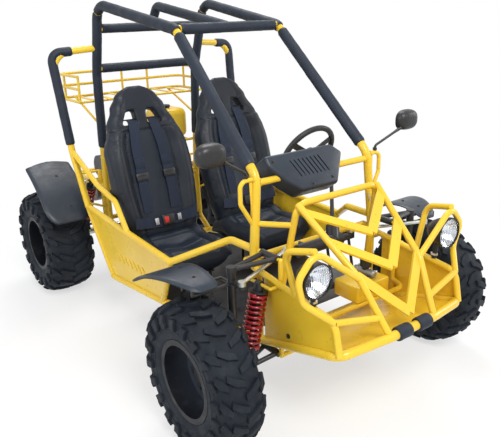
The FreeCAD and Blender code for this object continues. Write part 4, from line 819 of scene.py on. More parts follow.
def sewn(made, seams, reach):
    """Draws the cover in along its seams, out to a reach from them."""
    spots = [spot for seam in seams for spot in seam]
    tree = KDTree(len(spots))
    for index, spot in enumerate(spots):
        tree.insert(spot, index)
    tree.balance()
    moves = []
    for point in made.data.vertices:
        near = tree.find(point.co)[2]
        if near < reach:
            moves.append((point, point.normal * (SEAM_DEPTH * (1 - near / reach) ** 2)))
    for point, move in moves:
        point.co -= move


def seams_on(skin, lines, way, reach):
    """Lines of points, each carried along a direction onto a cover."""
    seams = []
    for line in lines:
        found = [skin.ray_cast(start, way, reach)[0] for start in line]
        seams.append([spot for spot in found if spot is not None])
    return seams


def panelled(made, is_panel):
    """Gives a cover's sewn panel its lighter vinyl."""
    made.data.materials.clear()
    made.data.materials.append(VINYL)
    made.data.materials.append(PANEL_VINYL)
    for face in made.data.polygons:
        face.material_index = int(is_panel(face))


def piped(name, made, seams, radius):
    """A cover with piping along its seams, and the surface of the bare cover."""
    skin = surface_of(made)
    parts = [made]
    for seam in seams:
        settled = [skin.find_nearest(spot)[0] for spot in seam]
        if len(settled) > 3:
            parts.append(piping("seam", settled, radius, VINYL))
    whole = join(name, parts)
    sharpen(whole, SOFT_ANGLE)
    return whole, skin


def seat_back_dressed(base):
    """A seat back with its belt holes, its sewn centre panel and piping round that."""
    shell = seat_back(base)
    for cutter in [belt_hole(base, sign) for sign in (-1, 1)]:
        cut_by(shell, cutter)
    plumped(shell, 0.005)
    lines = []
    for sign in (-1, 1):
        line = [(sign * 0.53, step / 60) for step in range(1, 43)]
        line += [(sign * (0.53 + 0.42 * ease(step / 14)), 0.705 + 0.012 * step / 14)
                 for step in range(1, 15)]
        lines.append(line)
    lines.append([(-0.5 + step / 20, 0.702) for step in range(21)])
    starts = [[seat_front_point(base, across, high, 0.08) for across, high in line]
              for line in lines]
    seams = seams_on(surface_of(shell), starts, SEAT_REAR, 0.2)
    sewn(shell, seams, 0.013)

    def is_panel(face):
        spot = face.center - base
        high = spot.dot(SEAT_UP) / SEAT_LENGTH
        width = curve_value(SEAT_WIDTH_STOPS, min(max(high, 0.0), 1.0))
        return (abs(spot.x) < width * 0.52 and spot.dot(SEAT_REAR) < SEAT_THICKNESS * 0.45
                and high < 0.70)

    panelled(shell, is_panel)
    return piped("seat_back_cover", shell, seams, 0.0020)


def seat_cushion(base_back, front_back, low_z, rear_z, front_z):
    """The seat's squab: raised sides, a dished middle and a rounded front roll."""
    rows, columns = 34, 36
    low_half, high_half = 0.150, 0.196
    depth = base_back - front_back
    points = []
    for row in range(rows + 1):
        share = row / rows
        swell = ease((share - 0.5) / 0.24)
        top = front_z + (rear_z - front_z) * share + 0.026 * swell
        top -= 0.030 * max(0.0, (share - 0.764) / 0.236)
        end = ease(share / 0.10) * 0.35 + 0.65 if share < 0.10 else 1.0
        nose = math.sqrt(max(0.0, 1 - (1 - min(share / 0.16, 1.0)) ** 2))
        tail = math.sqrt(max(0.0, 1 - (1 - min((1 - share) / 0.03, 1.0)) ** 2))
        fat = min(nose, 0.35 + 0.65 * tail)
        middle = (top + low_z) / 2
        half_height = (top - low_z) / 2
        for column in range(2 * columns):
            across = -math.cos(math.pi * column / columns)
            edge = (1 - abs(across) ** 4) ** 0.5
            if column < columns:
                dish = (1 - ease(abs(across) / 0.55)) * ease(share * 3) * (1 - swell)
                raised = 0.024 * bolster_share(across) - 0.016 * dish
                z = middle + (half_height * edge + raised * edge ** 0.5) * fat
                half = high_half * (0.93 + 0.07 * end)
            else:
                z = middle - half_height * edge * (0.35 + 0.65 * fat)
                half = low_half + (high_half - low_half) * 0.25
            blend = 0.5 + 0.5 * (z - low_z) / (top - low_z)
            points.append(at(SEAT_X + across * (low_half * (1 - blend) + half * blend),
                             front_back + depth * share, z))
    made = solid("cushion", points, loft_faces(rows + 1, 2 * columns), VINYL)
    plumped(made, 0.006)
    lines = [[(sign * CUSHION_PANEL_HALF, 0.05 + 0.9 * step / 40) for step in range(41)]
             for sign in (-1, 1)]
    lines += [[(-CUSHION_PANEL_HALF + 0.21 * step / 20, share) for step in range(21)]
              for share in (0.34, 0.66)]
    starts = [[at(SEAT_X + across, front_back + depth * share, front_z + 0.1)
               for across, share in line] for line in lines]
    seams = seams_on(surface_of(made), starts, DOWN, 0.4)
    sewn(made, seams, 0.014)

    def is_panel(face):
        return abs(face.center.x - SEAT_X) < CUSHION_PANEL_HALF and face.normal.z > 0.5

    panelled(made, is_panel)
    return piped("seat_cushion_cover", made, seams, 0.0018)[0]


def make_seats():
    """Both seats, mirror images. Gives the left one's foot and surface, for the belts."""
    low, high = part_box("seat_cushions")
    back_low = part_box("seat_backs")[0]
    base = Vector((SEAT_X, back_low.y, back_low.z + SEAT_THICKNESS * math.sin(SEAT_RECLINE)))
    back, skin = seat_back_dressed(base)
    cushion = seat_cushion(high.y - FRONT_AXLE_Y, low.y - FRONT_AXLE_Y, low.z,
                           high.z - 0.027, high.z - 0.006)
    for made, node in ((back, "seat_backs"), (cushion, "seat_cushions")):
        made.name = node + "_cover_left"
        for piece in (made, mirrored(made, node + "_cover_right")):
            declared(piece, "root", node)
    return base, skin


# Harness

BELT_WIDTH = 0.048
LAP_BELT_WIDTH = 0.046
BELT_THICKNESS = 0.0025
# The fittings' width, height and depth.
BELT_SLIDE = (0.058, 0.034, 0.008)
BELT_BAR = (0.046, 0.005, 0.004)
BELT_PATCH = (0.050, 0.045, 0.005)
BELT_BUCKLE = (0.060, 0.046, 0.015)
BELT_RELEASE = (0.020, 0.028, 0.008)
BELT_TONGUE = (0.018, 0.030, 0.003)


def strap(name, path, width, across, material):
    """A flat belt through points, whose width runs as near as it can to a direction."""
    points = []
    for _, spot, run in neighbours(path):
        side = (across - run * across.dot(run)).normalized() * (width / 2)
        out = run.cross(side).normalized() * (BELT_THICKNESS / 2)
        points += [spot - side - out, spot + side - out, spot + side + out, spot - side + out]
    return solid(name, points, loft_faces(len(path), 4, turned=True), material, smooth=False)


def laid(skin, spot, lift):
    """A belt's point, moved to rest on the seat."""
    found = skin.ray_cast(spot - SEAT_REAR * 0.10, SEAT_REAR, 0.25)[0]
    return spot if found is None else found - SEAT_REAR * lift


def make_harness(base, skin):
    """Two shoulder belts from the belt holes, a lap belt with its release, and their slides."""
    webbing = LOOKS["webbing"]

    def on_seat(across, high, lift):
        return laid(skin, seat_front_point(base, across, high), lift)

    def fitting(name, centre, sizes, material, edge):
        return block(name, centre, SEAT_AXES, sizes, material, edge)

    parts = []
    for sign in (-1, 1):
        path = []
        for step in range(15):
            share = step / 14
            path.append(on_seat(sign * (0.30 + 0.05 * share), 0.765 - 0.60 * share,
                                0.0035 + 0.006 * math.sin(math.pi * share)))
        tuck = path[0] + SEAT_REAR * 0.03 + SEAT_UP * 0.012
        path = [tuck + SEAT_REAR * 0.03, tuck] + path
        parts.append(strap("shoulder_belt", path, BELT_WIDTH, LEFT, webbing))
        slide = on_seat(sign * 0.327, 0.40, 0.013)
        parts.append(fitting("belt_slide", slide, BELT_SLIDE, LAMP_PLASTIC, 0.002))
        for offset in (-0.008, 0.008):
            bar = slide + SEAT_UP * offset - SEAT_REAR * 0.005
            parts.append(fitting("belt_bar", bar, BELT_BAR, LAMP_PLASTIC, 0.001))
        patch = on_seat(sign * 0.32, 0.49, 0.011)
        parts.append(fitting("belt_patch", patch, BELT_PATCH, webbing, 0.001))
    lap = []
    for step in range(21):
        across = -0.95 + 1.9 * step / 20
        sag = 0.020 * math.cos(math.pi * across / 2)
        rise = 0.008 + 0.022 * math.cos(math.pi * across / 2)
        lap.append(on_seat(across * 0.86, 0.115 - sag, rise))
    parts.append(strap("lap_belt", lap, LAP_BELT_WIDTH, SEAT_UP, webbing))
    buckle = on_seat(-0.02, 0.100, 0.036)
    parts.append(fitting("belt_buckle", buckle, BELT_BUCKLE, LAMP_PLASTIC, 0.004))
    parts.append(fitting("belt_release", buckle - SEAT_REAR * 0.008 + LEFT * 0.012,
                         BELT_RELEASE, RED_PLASTIC, 0.002))
    for sign in (-1, 1):
        tongue = on_seat(sign * 0.30 - 0.02, 0.101, 0.0335)
        parts.append(fitting("belt_tongue", tongue, BELT_TONGUE, ALLOY, 0.001))
    made = assembled("belts_left", parts, 0.5, "root", "harness")
    declared(mirrored(made, "belts_right"), "root", "harness")


# Foam sleeves on the cage

CAGE_SIDE = [at(0.272, 1.360, 0.560), at(0.276, 1.325, 1.130), at(0.283, 1.224, 1.450),
             at(0.252, 0.599, 1.342), at(0.273, 0.086, 0.866)]
HOOP = [at(0.2771, 1.2849, 1.257), at(0.491, 1.317, 1.241), at(0.470, 1.250, 0.800)]
CROSS_HEIGHT = 1.342
WAIST_HEIGHT = 1.160
ROOF_RISE = at(0, 1.190, 1.436)
CAGE_TUBE = 0.0165
BRANCH_TUBE = 0.0155
CAGE_BEND = 0.085
FOAM = 0.0058
SLEEVE_GAP = 0.0004
SLEEVE_STEP = 0.0065
SLEEVE_SIDES = 26
BUMPER_TUBE = 0.0165
BUMPER_SLEEVE_X = 0.019
BUMPER_SLEEVE_STEP = 0.003
# The sleeves along each side of the cage, as shares of its length.
SIDE_SLEEVES = (("post", 0.0, 0.335), ("top", 0.338, 0.672), ("pillar", 0.682, 1.0))


def bent_line(points, bend, step):
    """Points a step apart along a path whose corners are rounded."""
    line = [points[0]]
    for before, corner, after in zip(points, points[1:], points[2:]):
        into = (corner - before).normalized()
        out = (after - corner).normalized()
        turn = into.angle(out)
        room = min((corner - before).length, (after - corner).length)
        reach = min(bend * math.tan(turn / 2), 0.46 * room)
        radius = reach / math.tan(turn / 2)
        centre = corner + (out - into).normalized() * (radius / math.cos(turn / 2))
        arm = corner - into * reach - centre
        axis = into.cross(out).normalized()
        count = max(3, int(radius * turn / step))
        line += [centre + Matrix.Rotation(turn * index / count, 3, axis) @ arm
                 for index in range(count + 1)]
    line.append(points[-1])
    return spaced(line, step)


def spaced(line, step):
    """The same path, with its points about a step apart."""
    lengths = [0.0]
    for first, last in zip(line, line[1:]):
        lengths.append(lengths[-1] + (last - first).length)
    count = max(2, round(lengths[-1] / step))
    made = []
    index = 0
    for number in range(count + 1):
        goal = lengths[-1] * number / count
        while index < len(line) - 2 and lengths[index + 1] < goal:
            index += 1
        share = (goal - lengths[index]) / max(lengths[index + 1] - lengths[index], 1e-9)
        made.append(line[index].lerp(line[index + 1], min(max(share, 0.0), 1.0)))
    return made


def foam_sleeve(name, line, outer, inner, slit, node):
    """A soft sleeve: a slit along one side, lumps, folds inside its bends and rounded ends."""
    step = (line[1] - line[0]).length
    last = len(line) - 1
    normal = Vector(slit)
    rings = []
    for index, spot, run in neighbours(line):
        normal = (normal - run * normal.dot(run)).normalized()
        across = run.cross(normal)
        inside = Vector()
        if 0 < index < last:
            inside = (line[index - 1] + line[index + 1] - spot * 2) / (step * step)
        along = index * step
        end = min(along, last * step - along)
        round_off = 1 - math.sqrt(1 - (1 - min(end / 0.007, 1.0)) ** 2)
        ring = []
        for side in range(SLEEVE_SIDES):
            angle = 2 * math.pi * side / SLEEVE_SIDES
            out = round_place(angle, normal, across)
            where = spot + out * outer
            lump = noise.noise(where * 26.0) * 0.0008 + noise.noise(where * 90.0) * 0.0004
            fold = max(0.0, out.dot(inside)) * outer
            phase = along * 2 * math.pi / 0.017 + 2.0 * noise.noise(where * 40.0)
            wave = 0.5 + 0.5 * math.sin(phase)
            cut = math.exp(-(min(angle, 2 * math.pi - angle) / 0.16) ** 2)
            radius = outer + lump - 0.0085 * fold * wave - 0.0016 * cut - 0.0032 * round_off
            ring.append(spot + out * radius)
        rings.append(ring)
    first_end, last_end = ([end + (point - end).normalized() * inner for point in ring]
                           for end, ring in ((line[0], rings[0]), (line[-1], rings[-1])))
    made = loft(name, [first_end] + rings + [last_end], LOOKS["foam_black"])
    sharpen(made, 1.0)
    declared(made, "root", node)


def cage_sleeve(name, line, tube, slit):
    foam_sleeve(name, line, tube + FOAM, tube + SLEEVE_GAP, slit, "cage_pads")


def stretch(line, first, last):
    """The points of a line between two shares of its length."""
    count = len(line) - 1
    return line[round(first * count):round(last * count) + 1]


def make_sleeves():
    """Sleeves on the sides, the hoops, the cross tubes, the roof's spine and the front bumper."""
    post_low = CAGE_SIDE[0].lerp(CAGE_SIDE[1], 0.38)
    pillar_low = CAGE_SIDE[3].lerp(CAGE_SIDE[4], 0.93)
    hoop_start = HOOP[0] + (HOOP[1] - HOOP[0]).normalized() * 0.122
    hoop_low = HOOP[1].lerp(HOOP[2], 0.93)
    post_high, waist = (at_height(CAGE_SIDE[1], CAGE_SIDE[2], z)
                        for z in (CROSS_HEIGHT, WAIST_HEIGHT))
    for side_name, sign in SIDES:
        slit = (-sign, 0, -1)
        side = on_side([post_low] + CAGE_SIDE[1:4] + [pillar_low], sign)
        line = bent_line(side, CAGE_BEND, SLEEVE_STEP)
        for name, first, last in SIDE_SLEEVES:
            cage_sleeve(f"sleeve_{name}_{side_name}", stretch(line, first, last), CAGE_TUBE, slit)
        hoop = on_side([hoop_start, HOOP[1], hoop_low], sign)
        cage_sleeve("sleeve_hoop_" + side_name, bent_line(hoop, CAGE_BEND, SLEEVE_STEP),
                    BRANCH_TUBE, slit)
    butt = CAGE_TUBE + FOAM - 0.0015
    for name, point in (("rear", post_high), ("waist", waist), ("front", CAGE_SIDE[3])):
        end = point - Vector((butt, 0, 0))
        cage_sleeve("sleeve_cross_" + name, spaced([flipped(end), end], SLEEVE_STEP),
                    BRANCH_TUBE, (0, 0, -1))
    rear, front = (Vector((0, point.y, point.z)) for point in (post_high, CAGE_SIDE[3]))
    start, end = (point + (ROOF_RISE - point).normalized() * 0.021 for point in (rear, front))
    cage_sleeve("sleeve_roof", bent_line([start, ROOF_RISE, end], 0.045, SLEEVE_STEP),
                BRANCH_TUBE, (0, 0, -1))
    low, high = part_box("bumper_pads")
    middle = (low + high) / 2
    for side_name, sign in SIDES:
        first, last = (Vector((x * sign, middle.y, middle.z))
                       for x in (BUMPER_SLEEVE_X, high.x))
        foam_sleeve("bumper_sleeve_" + side_name, spaced([first, last], BUMPER_SLEEVE_STEP),
                    (high.z - low.z) / 2, BUMPER_TUBE, (0, 0.3, -1), "bumper_pads")


# Headlamps, mirrors, springs and the brake cylinder. The profiles are (along, out) pairs.

LAMP_X = 0.321
LAMP_Z = 0.621
LAMP_STEM_X = 0.301
LAMP_SHELL = [(-0.003, 0.0540), (-0.003, 0.0572), (0.002, 0.0580), (0.010, 0.0578),
              (0.013, 0.0560), (0.030, 0.0525), (0.050, 0.0450), (0.068, 0.0350),
              (0.080, 0.0230), (0.085, 0.0140), (0.086, 0.0004), (0.081, 0.0004),
              (0.074, 0.0200), (0.050, 0.0400), (0.025, 0.0500), (0.006, 0.0540)]
LAMP_RIBS = ((0.034, 0.0520), (0.044, 0.0482), (0.054, 0.0433))
LAMP_NUT = [(0.0, 0.004), (0.0, 0.014), (0.008, 0.014), (0.008, 0.004)]
LAMP_BULB = [(0.020, 0.0003), (0.021, 0.0040), (0.026, 0.0058), (0.034, 0.0058),
             (0.046, 0.0050), (0.053, 0.0003)]
LAMP_BULB_CAP = [(0.017, 0.0003), (0.018, 0.0062), (0.024, 0.0066), (0.025, 0.0003)]
LAMP_DISH_RADIUS = 0.0525
LENS_RADIUS = 0.0530
LENS_RINGS = 20
LENS_STEPS = 72
MIRROR_HALF_WIDTH = 0.054
MIRROR_HALF_HEIGHT = 0.040
MIRROR_STEPS = 72
MIRROR_HEAD = at(0.468, 0.059, 0.975)
MIRROR_STEM = (at(0.316, 0.0860, 0.868), at(0.316, 0.0865, 0.888),
               MIRROR_HEAD + Vector((-0.043, -0.006, -0.026)))
# Rings of the mirror's shell and glass: how far behind its middle, and how large.
MIRROR_SHELL = ((0.011, 0.93), (0.0138, 0.955), (0.0140, 0.985), (0.010, 1.0), (0.002, 0.995),
                (-0.007, 0.955), (-0.014, 0.88), (-0.0195, 0.76), (-0.0235, 0.58),
                (-0.0255, 0.34))
MIRROR_GLASS = ((0.0105, 0.92), (0.0125, 0.92), (0.0128, 0.905))
MIRROR_NUT = [(0.0, 0.002), (0.0, 0.0095), (0.008, 0.0095), (0.008, 0.002)]
# The top and foot of each left spring, front and rear.
SPRINGS = ((at(0.335, 0, 0.520), at(0.392, 0, 0.262)),
           (at(0.326, 1.430, 0.590), at(0.326, 1.618, 0.296)))
COIL_TURNS = 12.0
COIL_TURN_STEPS = 26
COIL_RADIUS = 0.030
COIL_WIRE = 0.0056
CYLINDER_SEAT = at(0.105, -0.080, 0.4493)
CYLINDER_BODY = [(-0.046, 0.0004), (-0.046, 0.009), (-0.041, 0.0125), (-0.020, 0.0135),
                 (0.026, 0.0150), (0.030, 0.0190), (0.036, 0.0190), (0.038, 0.0110),
                 (0.052, 0.0100), (0.054, 0.0004)]
RESERVOIR = [(0.0, 0.0004), (0.0, 0.013), (0.010, 0.0135), (0.013, 0.0215), (0.040, 0.0225),
             (0.042, 0.0205), (0.042, 0.0004)]
RESERVOIR_CAP = [(0.0, 0.0004), (0.0, 0.0235), (0.003, 0.0245), (0.013, 0.0240),
                 (0.016, 0.0200), (0.017, 0.0004)]
LINE_UNION = [(0.0, 0.0004), (0.0, 0.0065), (0.010, 0.0065), (0.010, 0.0045), (0.015, 0.0040),
              (0.015, 0.0004)]


def make_lamp_body(name, middle, sign, foot_z):
    """The shell with its ribs, on a stem with a nut."""
    parts = [lathe("lamp_shell", LAMP_SHELL, 64, middle, BACKWARD, LAMP_PLASTIC)]
    for along, radius in LAMP_RIBS:
        rib = [(along - 0.002, radius - 0.003), (along - 0.001, radius),
               (along + 0.001, radius - 0.0006), (along + 0.002, radius - 0.004)]
        parts.append(lathe("lamp_rib", rib, 64, middle, BACKWARD, LAMP_PLASTIC))
    stem_top = middle + BACKWARD * 0.043
    stem_foot = Vector((LAMP_STEM_X * sign, stem_top.y, foot_z))
    parts.append(piping("lamp_stem", [stem_foot, stem_top], 0.009, LAMP_PLASTIC, 20))
    parts.append(lathe("lamp_nut", LAMP_NUT, HEXAGON, stem_foot + Vector((0, 0, 0.012)),
                       stem_top - stem_foot, BRIGHT_STEEL))
    assembled(name, parts, 0.6, "root", "headlamps")


def lamp_optics(name, middle):
    """A faceted reflector, with the bulb and its cap."""
    dish = []
    for step in range(13):
        radius = LAMP_DISH_RADIUS - 0.0485 * step / 12
        dish.append((0.008 + 0.045 * (1 - (radius / LAMP_DISH_RADIUS) ** 2), radius))
    dish += [(along + 0.001, radius) for along, radius in reversed(dish)]
    reflector = lathe("lamp_reflector", dish, 30, middle, BACKWARD, CHROME)
    for face in reflector.data.polygons:
        face.use_smooth = False
    bulb = lathe("lamp_bulb", LAMP_BULB, 20, middle, BACKWARD, CLEAR)
    cap = lathe("lamp_cap", LAMP_BULB_CAP, 20, middle, BACKWARD, BRIGHT_STEEL)
    return join(name, [reflector, bulb, cap])


def lamp_glass(name, middle):
    """A domed lens with vertical flutes inside and a flat rim."""
    points = []
    for layer, thick in ((0, 0.0), (1, 0.003)):
        for ring in range(1, LENS_RINGS + 1):
            radius = LENS_RADIUS * ring / LENS_RINGS
            bulge = 0.0115 * (1 - (radius / LENS_RADIUS) ** 2)
            fade = min(1.0, (LENS_RADIUS - radius) / 0.006)
            for step in range(LENS_STEPS):
                turn = 2 * math.pi * step / LENS_STEPS
                x = radius * math.cos(turn)
                flute = 0.0007 * math.cos(2 * math.pi * x / 0.0075) * fade if layer else 0.0
                points.append(middle + Vector((x, thick - bulge + flute + 0.0010,
                                               radius * math.sin(turn))))
    size = LENS_RINGS * LENS_STEPS
    edge = size - LENS_STEPS
    faces = [tuple(range(LENS_STEPS)), tuple(range(size + LENS_STEPS - 1, size - 1, -1))]
    for layer in (0, 1):
        for start in range(layer * size, layer * size + edge, LENS_STEPS):
            for step in range(LENS_STEPS):
                here, after = start + step, start + (step + 1) % LENS_STEPS
                quad = (here, after, after + LENS_STEPS, here + LENS_STEPS)
                faces.append(quad if layer else quad[::-1])
    for step in range(LENS_STEPS):
        here, after = edge + step, edge + (step + 1) % LENS_STEPS
        faces.append((here, size + here, size + after, after))
    return outward(solid(name, points, faces, CLEAR))


def make_headlamps():
    foot_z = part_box("headlamps")[0].z + 0.004
    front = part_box("lamp_lenses")[1].y - 0.0117
    for side_name, sign in SIDES:
        middle = Vector((LAMP_X * sign, front, LAMP_Z))
        make_lamp_body("headlamp_" + side_name, middle, sign, foot_z)
        optics = lamp_optics("lamp_optics_" + side_name, middle)
        for piece in (optics, lamp_glass("lamp_glass_" + side_name, middle)):
            declared(piece, "root", "lamp_lenses")


def oval(centre, grow):
    """A rounded oblong that stands across the buggy, of the mirror's size or a share of it."""
    points = []
    for step in range(MIRROR_STEPS):
        turn = 2 * math.pi * step / MIRROR_STEPS
        x, z = (math.copysign(abs(way) ** 0.74, way) for way in (math.cos(turn), math.sin(turn)))
        points.append(centre + Vector((MIRROR_HALF_WIDTH * grow * x, 0,
                                       MIRROR_HALF_HEIGHT * grow * z)))
    return points


def mirror_skin(name, head, rings, material):
    return loft(name, [oval(head + Vector((0, along, 0)), grow) for along, grow in rings],
                material)


def make_mirrors():
    """A moulded shell with a lip, its glass, and a stem with a ball joint and a lock nut."""
    for side_name, sign in SIDES:
        head, *stem_corners = on_side((MIRROR_HEAD, *MIRROR_STEM), sign)
        stem = bent_line(stem_corners, 0.026, 0.006)
        count = len(stem)
        radii = [0.0050 + 0.0022 * ease((index - count * 0.7) / (count * 0.3))
                 for index in range(count)]
        nut_place = stem_corners[0] + Vector((0, 0, 0.004))
        parts = [mirror_skin("mirror_shell", head, MIRROR_SHELL, LAMP_PLASTIC),
                 swept("mirror_stem", stem, radii, 16, LAMP_PLASTIC),
                 lathe("mirror_nut", MIRROR_NUT, HEXAGON, nut_place, UP, LOOKS["frame_black"])]
        assembled("mirror_body_" + side_name, parts, 0.8, "root", "mirrors")
        glass = mirror_skin("mirror_glass_" + side_name, head, MIRROR_GLASS, CHROME)
        sharpen(glass, 0.5)
        declared(glass, "root", "mirrors")


def coil_rise(share, edge=0.09, low=0.09 * 0.35):
    """How far up the spring a share of its wire is: the end turns lie closer together."""
    if share < edge:
        return low * share / edge
    if share > 1 - edge:
        return 1 - low * (1 - share) / edge
    return low + (1 - 2 * low) * (share - edge) / (1 - 2 * edge)


def coil(first, last):
    """One spring's wire between its two seats."""
    run = last - first
    way = run.normalized()
    side = way.orthogonal().normalized()
    other = way.cross(side)
    start = 0.018 + run.length * 0.04 + 0.0003
    height = run.length - 2 * start - 2 * COIL_WIRE
    steps = COIL_TURNS * COIL_TURN_STEPS
    path = []
    for step in range(int(steps) + 1):
        share = step / steps
        path.append(first + way * (start + COIL_WIRE + height * coil_rise(share))
                    + round_place(2 * math.pi * COIL_TURNS * share, side, other) * COIL_RADIUS)
    return outward(piping("coil", path, COIL_WIRE, LOOKS["spring_red"], 10))


def make_springs():
    """Painted coils, tighter than the plain ones that they stand for."""
    parts = [coil(*on_side(ends, sign)) for ends in SPRINGS for sign in (1, -1)]
    declared(join("coil_springs", parts), "root", "springs")


def make_brake_cylinder():
    """A cast body on the nose box, with a reservoir, its ribbed cap and two line unions."""
    middle = CYLINDER_SEAT + UP * 0.0195
    parts = [
        lathe("cylinder", CYLINDER_BODY, 40, middle, BACKWARD, ALLOY),
        block("cylinder_foot", CYLINDER_SEAT + UP * 0.0035 - BACKWARD * 0.004, AXES,
              (0.052, 0.052, 0.0070), ALLOY, 0.0015),
        lathe("reservoir", RESERVOIR, 40, middle + UP * 0.008, UP, LAMP_PLASTIC),
        lathe("reservoir_cap", RESERVOIR_CAP, 12, middle + UP * 0.046, UP, LAMP_PLASTIC)]
    for shift in (-0.030, 0.006):
        place = middle + BACKWARD * shift + LEFT * 0.012
        parts.append(lathe("union", LINE_UNION, HEXAGON, place, LEFT, BRIGHT_STEEL))
    for x in (-0.018, 0.018):
        for back in (0.014, -0.022):
            place = CYLINDER_SEAT + LEFT * x + UP * 0.007 + BACKWARD * back
            parts += bolt(place, UP, 0.0040)
    assembled("brake_master_cylinder", parts, 0.5)


# Welds

PILLAR_HIGH = CAGE_SIDE[4]
PILLAR_LOW = at(0.301, 0.074, 0.548)
COWL_TUBE_Z = 0.846
BRACKET_TOP_Z = 0.862
WELD_STEPS = 64
WELD_STAND = 0.0006


def pillar_at(z):
    """The middle of the left front pillar at a height."""
    return at_height(PILLAR_LOW, PILLAR_HIGH, z)


def weld(root, main_axis, main_radius, branch, branch_radius):
    """A rippled bead where a branch tube leaves a main tube."""
    main_axis = main_axis.normalized()
    branch = branch.normalized()
    side = branch.orthogonal().normalized()
    other = branch.cross(side)
    flat = branch - main_axis * branch.dot(main_axis)
    square = flat.length_squared
    path = []
    radii = []
    for step in range(WELD_STEPS + 1):
        turn = 2 * math.pi * step / WELD_STEPS
        offset = round_place(turn, side, other) * (branch_radius + WELD_STAND)
        across = offset - main_axis * offset.dot(main_axis)
        half = across.dot(flat)
        rest = across.length_squared - (main_radius + WELD_STAND) ** 2
        along = (-half + math.sqrt(max(half * half - square * rest, 0.0))) / square
        path.append(root + offset + branch * along)
        radii.append(0.0026 + 0.0005 * math.sin(turn * 22)
                     + 0.0003 * noise.noise(path[-1] * 160))
    return outward(swept("weld", path, radii, 8, YELLOW))


def make_welds():
    """Beads round the tubes that leave the front pillars, inwards and outwards."""
    down = PILLAR_HIGH - PILLAR_LOW
    parts = []
    for z, branch, radius in ((COWL_TUBE_Z, -LEFT, 0.012), (BRACKET_TOP_Z, LEFT, 0.008)):
        for sign in (1, -1):
            root, axis, way = on_side((pillar_at(z), down, branch), sign)
            parts.append(weld(root, axis, CAGE_TUBE, way, radius))
    declared(join("weld_beads", parts))


# Bolts

# Forms made here that stand for a CAD node, by the node's name.
MADE = {}
# Node, body, places outside the node's surface, the way to look at it and the bolt's radius.
BOLT_PLACES = (
    ("rear_fenders", "root", [at(0.500, back, 0.90) for back in (1.290, 1.430)], DOWN, 0.005),
    ("front_fender_left", "knuckle_left",
     [FRONT_WHEEL + Vector((-0.02, back, 0.5)) for back in (0.048, 0.132)], DOWN, 0.0045),
    ("dash_cowl", "root",
     [at(x, -0.2, z) for x, z in ((-0.19, 0.905), (0.045, 0.822), (-0.055, 0.815))],
     BACKWARD, 0.0045),
    ("nose_panels", "root", [at(0.9, -0.114, 0.357)], RIGHT, 0.0060),
)
# Further out than this, a bolt on the frame has a twin on the other side.
TWIN_FROM_X = 0.25


def node_surface(node):
    return surface_of(MADE.get(node) or NODES[node])


def bolt(place, axis, radius):
    """A washer under a chamfered hexagon head."""
    height = radius * 0.75
    washer = [(-0.001, 0.0005), (-0.001, radius * 1.55), (0.0012, radius * 1.55),
              (0.0014, radius * 1.45), (0.0014, 0.0005)]
    head = [(0.0012, 0.0005), (0.0012, radius), (height, radius),
            (height + radius * 0.18, radius * 0.82), (height + radius * 0.18, 0.0005)]
    look = LOOKS["frame_black"]
    return [lathe("washer", washer, 20, place, axis, look),
            lathe("head", head, HEXAGON, place, axis, look)]


def bolt_group(name, heads, body):
    parts = []
    for place, normal, radius in heads:
        parts += bolt(place, normal, radius)
    assembled(name, parts, 0.4, body)


def make_bolts():
    """Bolts on the frame, and on the fender stays, which turn with the knuckles."""
    frame_heads = []
    knuckle_heads = []
    for node, body, starts, way, radius in BOLT_PLACES:
        surface = node_surface(node)
        for start in starts:
            place, normal = surface.ray_cast(start, way, 3.0)[:2]
            if place is None:
                continue
            if normal.dot(way) > 0:
                normal = -normal
            if body == "knuckle_left":
                knuckle_heads.append((place, normal, radius))
                continue
            frame_heads.append((place, normal, radius))
            if abs(place.x) > TWIN_FROM_X:
                frame_heads.append((flipped(place), flipped(normal), radius))
    bolt_group("bolts_frame", frame_heads, "root")
    for side_name, sign in SIDES:
        body = "knuckle_" + side_name
        heads = [(*on_side((place, normal), sign), radius)
                 for place, normal, radius in knuckle_heads]
        if heads:
            bolt_group("bolts_" + body, heads, body)


# Sheets, brackets and the engine's outside

# Three (back, z) pairs on each fender's arc.
REAR_FENDER_ARC = ((1.246, 0.468), (1.372, 0.606), (1.538, 0.708))
FRONT_FENDER_ARC = ((-0.025, 0.566), (0.120, 0.600), (0.245, 0.552))
# Where each fender starts and ends, and the places across of its edges.
FRONT_FENDER_BACKS = (-0.014, 0.245)
FRONT_FENDER_INNER, FRONT_FENDER_OUTER, FRONT_FENDER_FLARE = 0.505, 0.590, 0.104
REAR_FENDER_BACKS = (1.246, 1.538)
REAR_FENDER_INNER, REAR_FENDER_OUTER, REAR_FENDER_PEAK = 0.402, 0.624, 0.506
REAR_FENDER_TAPER = 0.030
FRONT_CORNER = 0.020
REAR_CORNER = 0.052
LIP_WIDTH = 0.014
FENDER_THICKNESS = 0.004
SHEET_COLUMNS = 22
SHEET_SHARP = 0.9
# The rear frame's corners: REAR_END is (x, back), ENGINE_MOUNT (back, z), the others (x, back, z).
REAR_END = (0.272, 1.760)
ENGINE_MOUNT = (1.4077, 0.382)
SWING_PIVOT = (0.272, 1.345, 0.300)
LOWER_REAR = (0.300, 1.300, 0.215)
REAR_DROP = 0.380
RAIL_Z = 0.560
FRAME_TUBE = 0.014
MOUNT_TUBE = 0.012
TANK_TUBE = 0.007
FENDER_ROD = 0.006
FENDER_ROD_X = 0.545
TANK_SHELF_Z = 0.745
TUBE_SIDES = 20
NOSE_TUBE_PATH = [at(0.288, -0.058, 0.375), at(0.262, -0.131, 0.375),
                  at(-0.262, -0.131, 0.375), at(-0.288, -0.058, 0.375)]
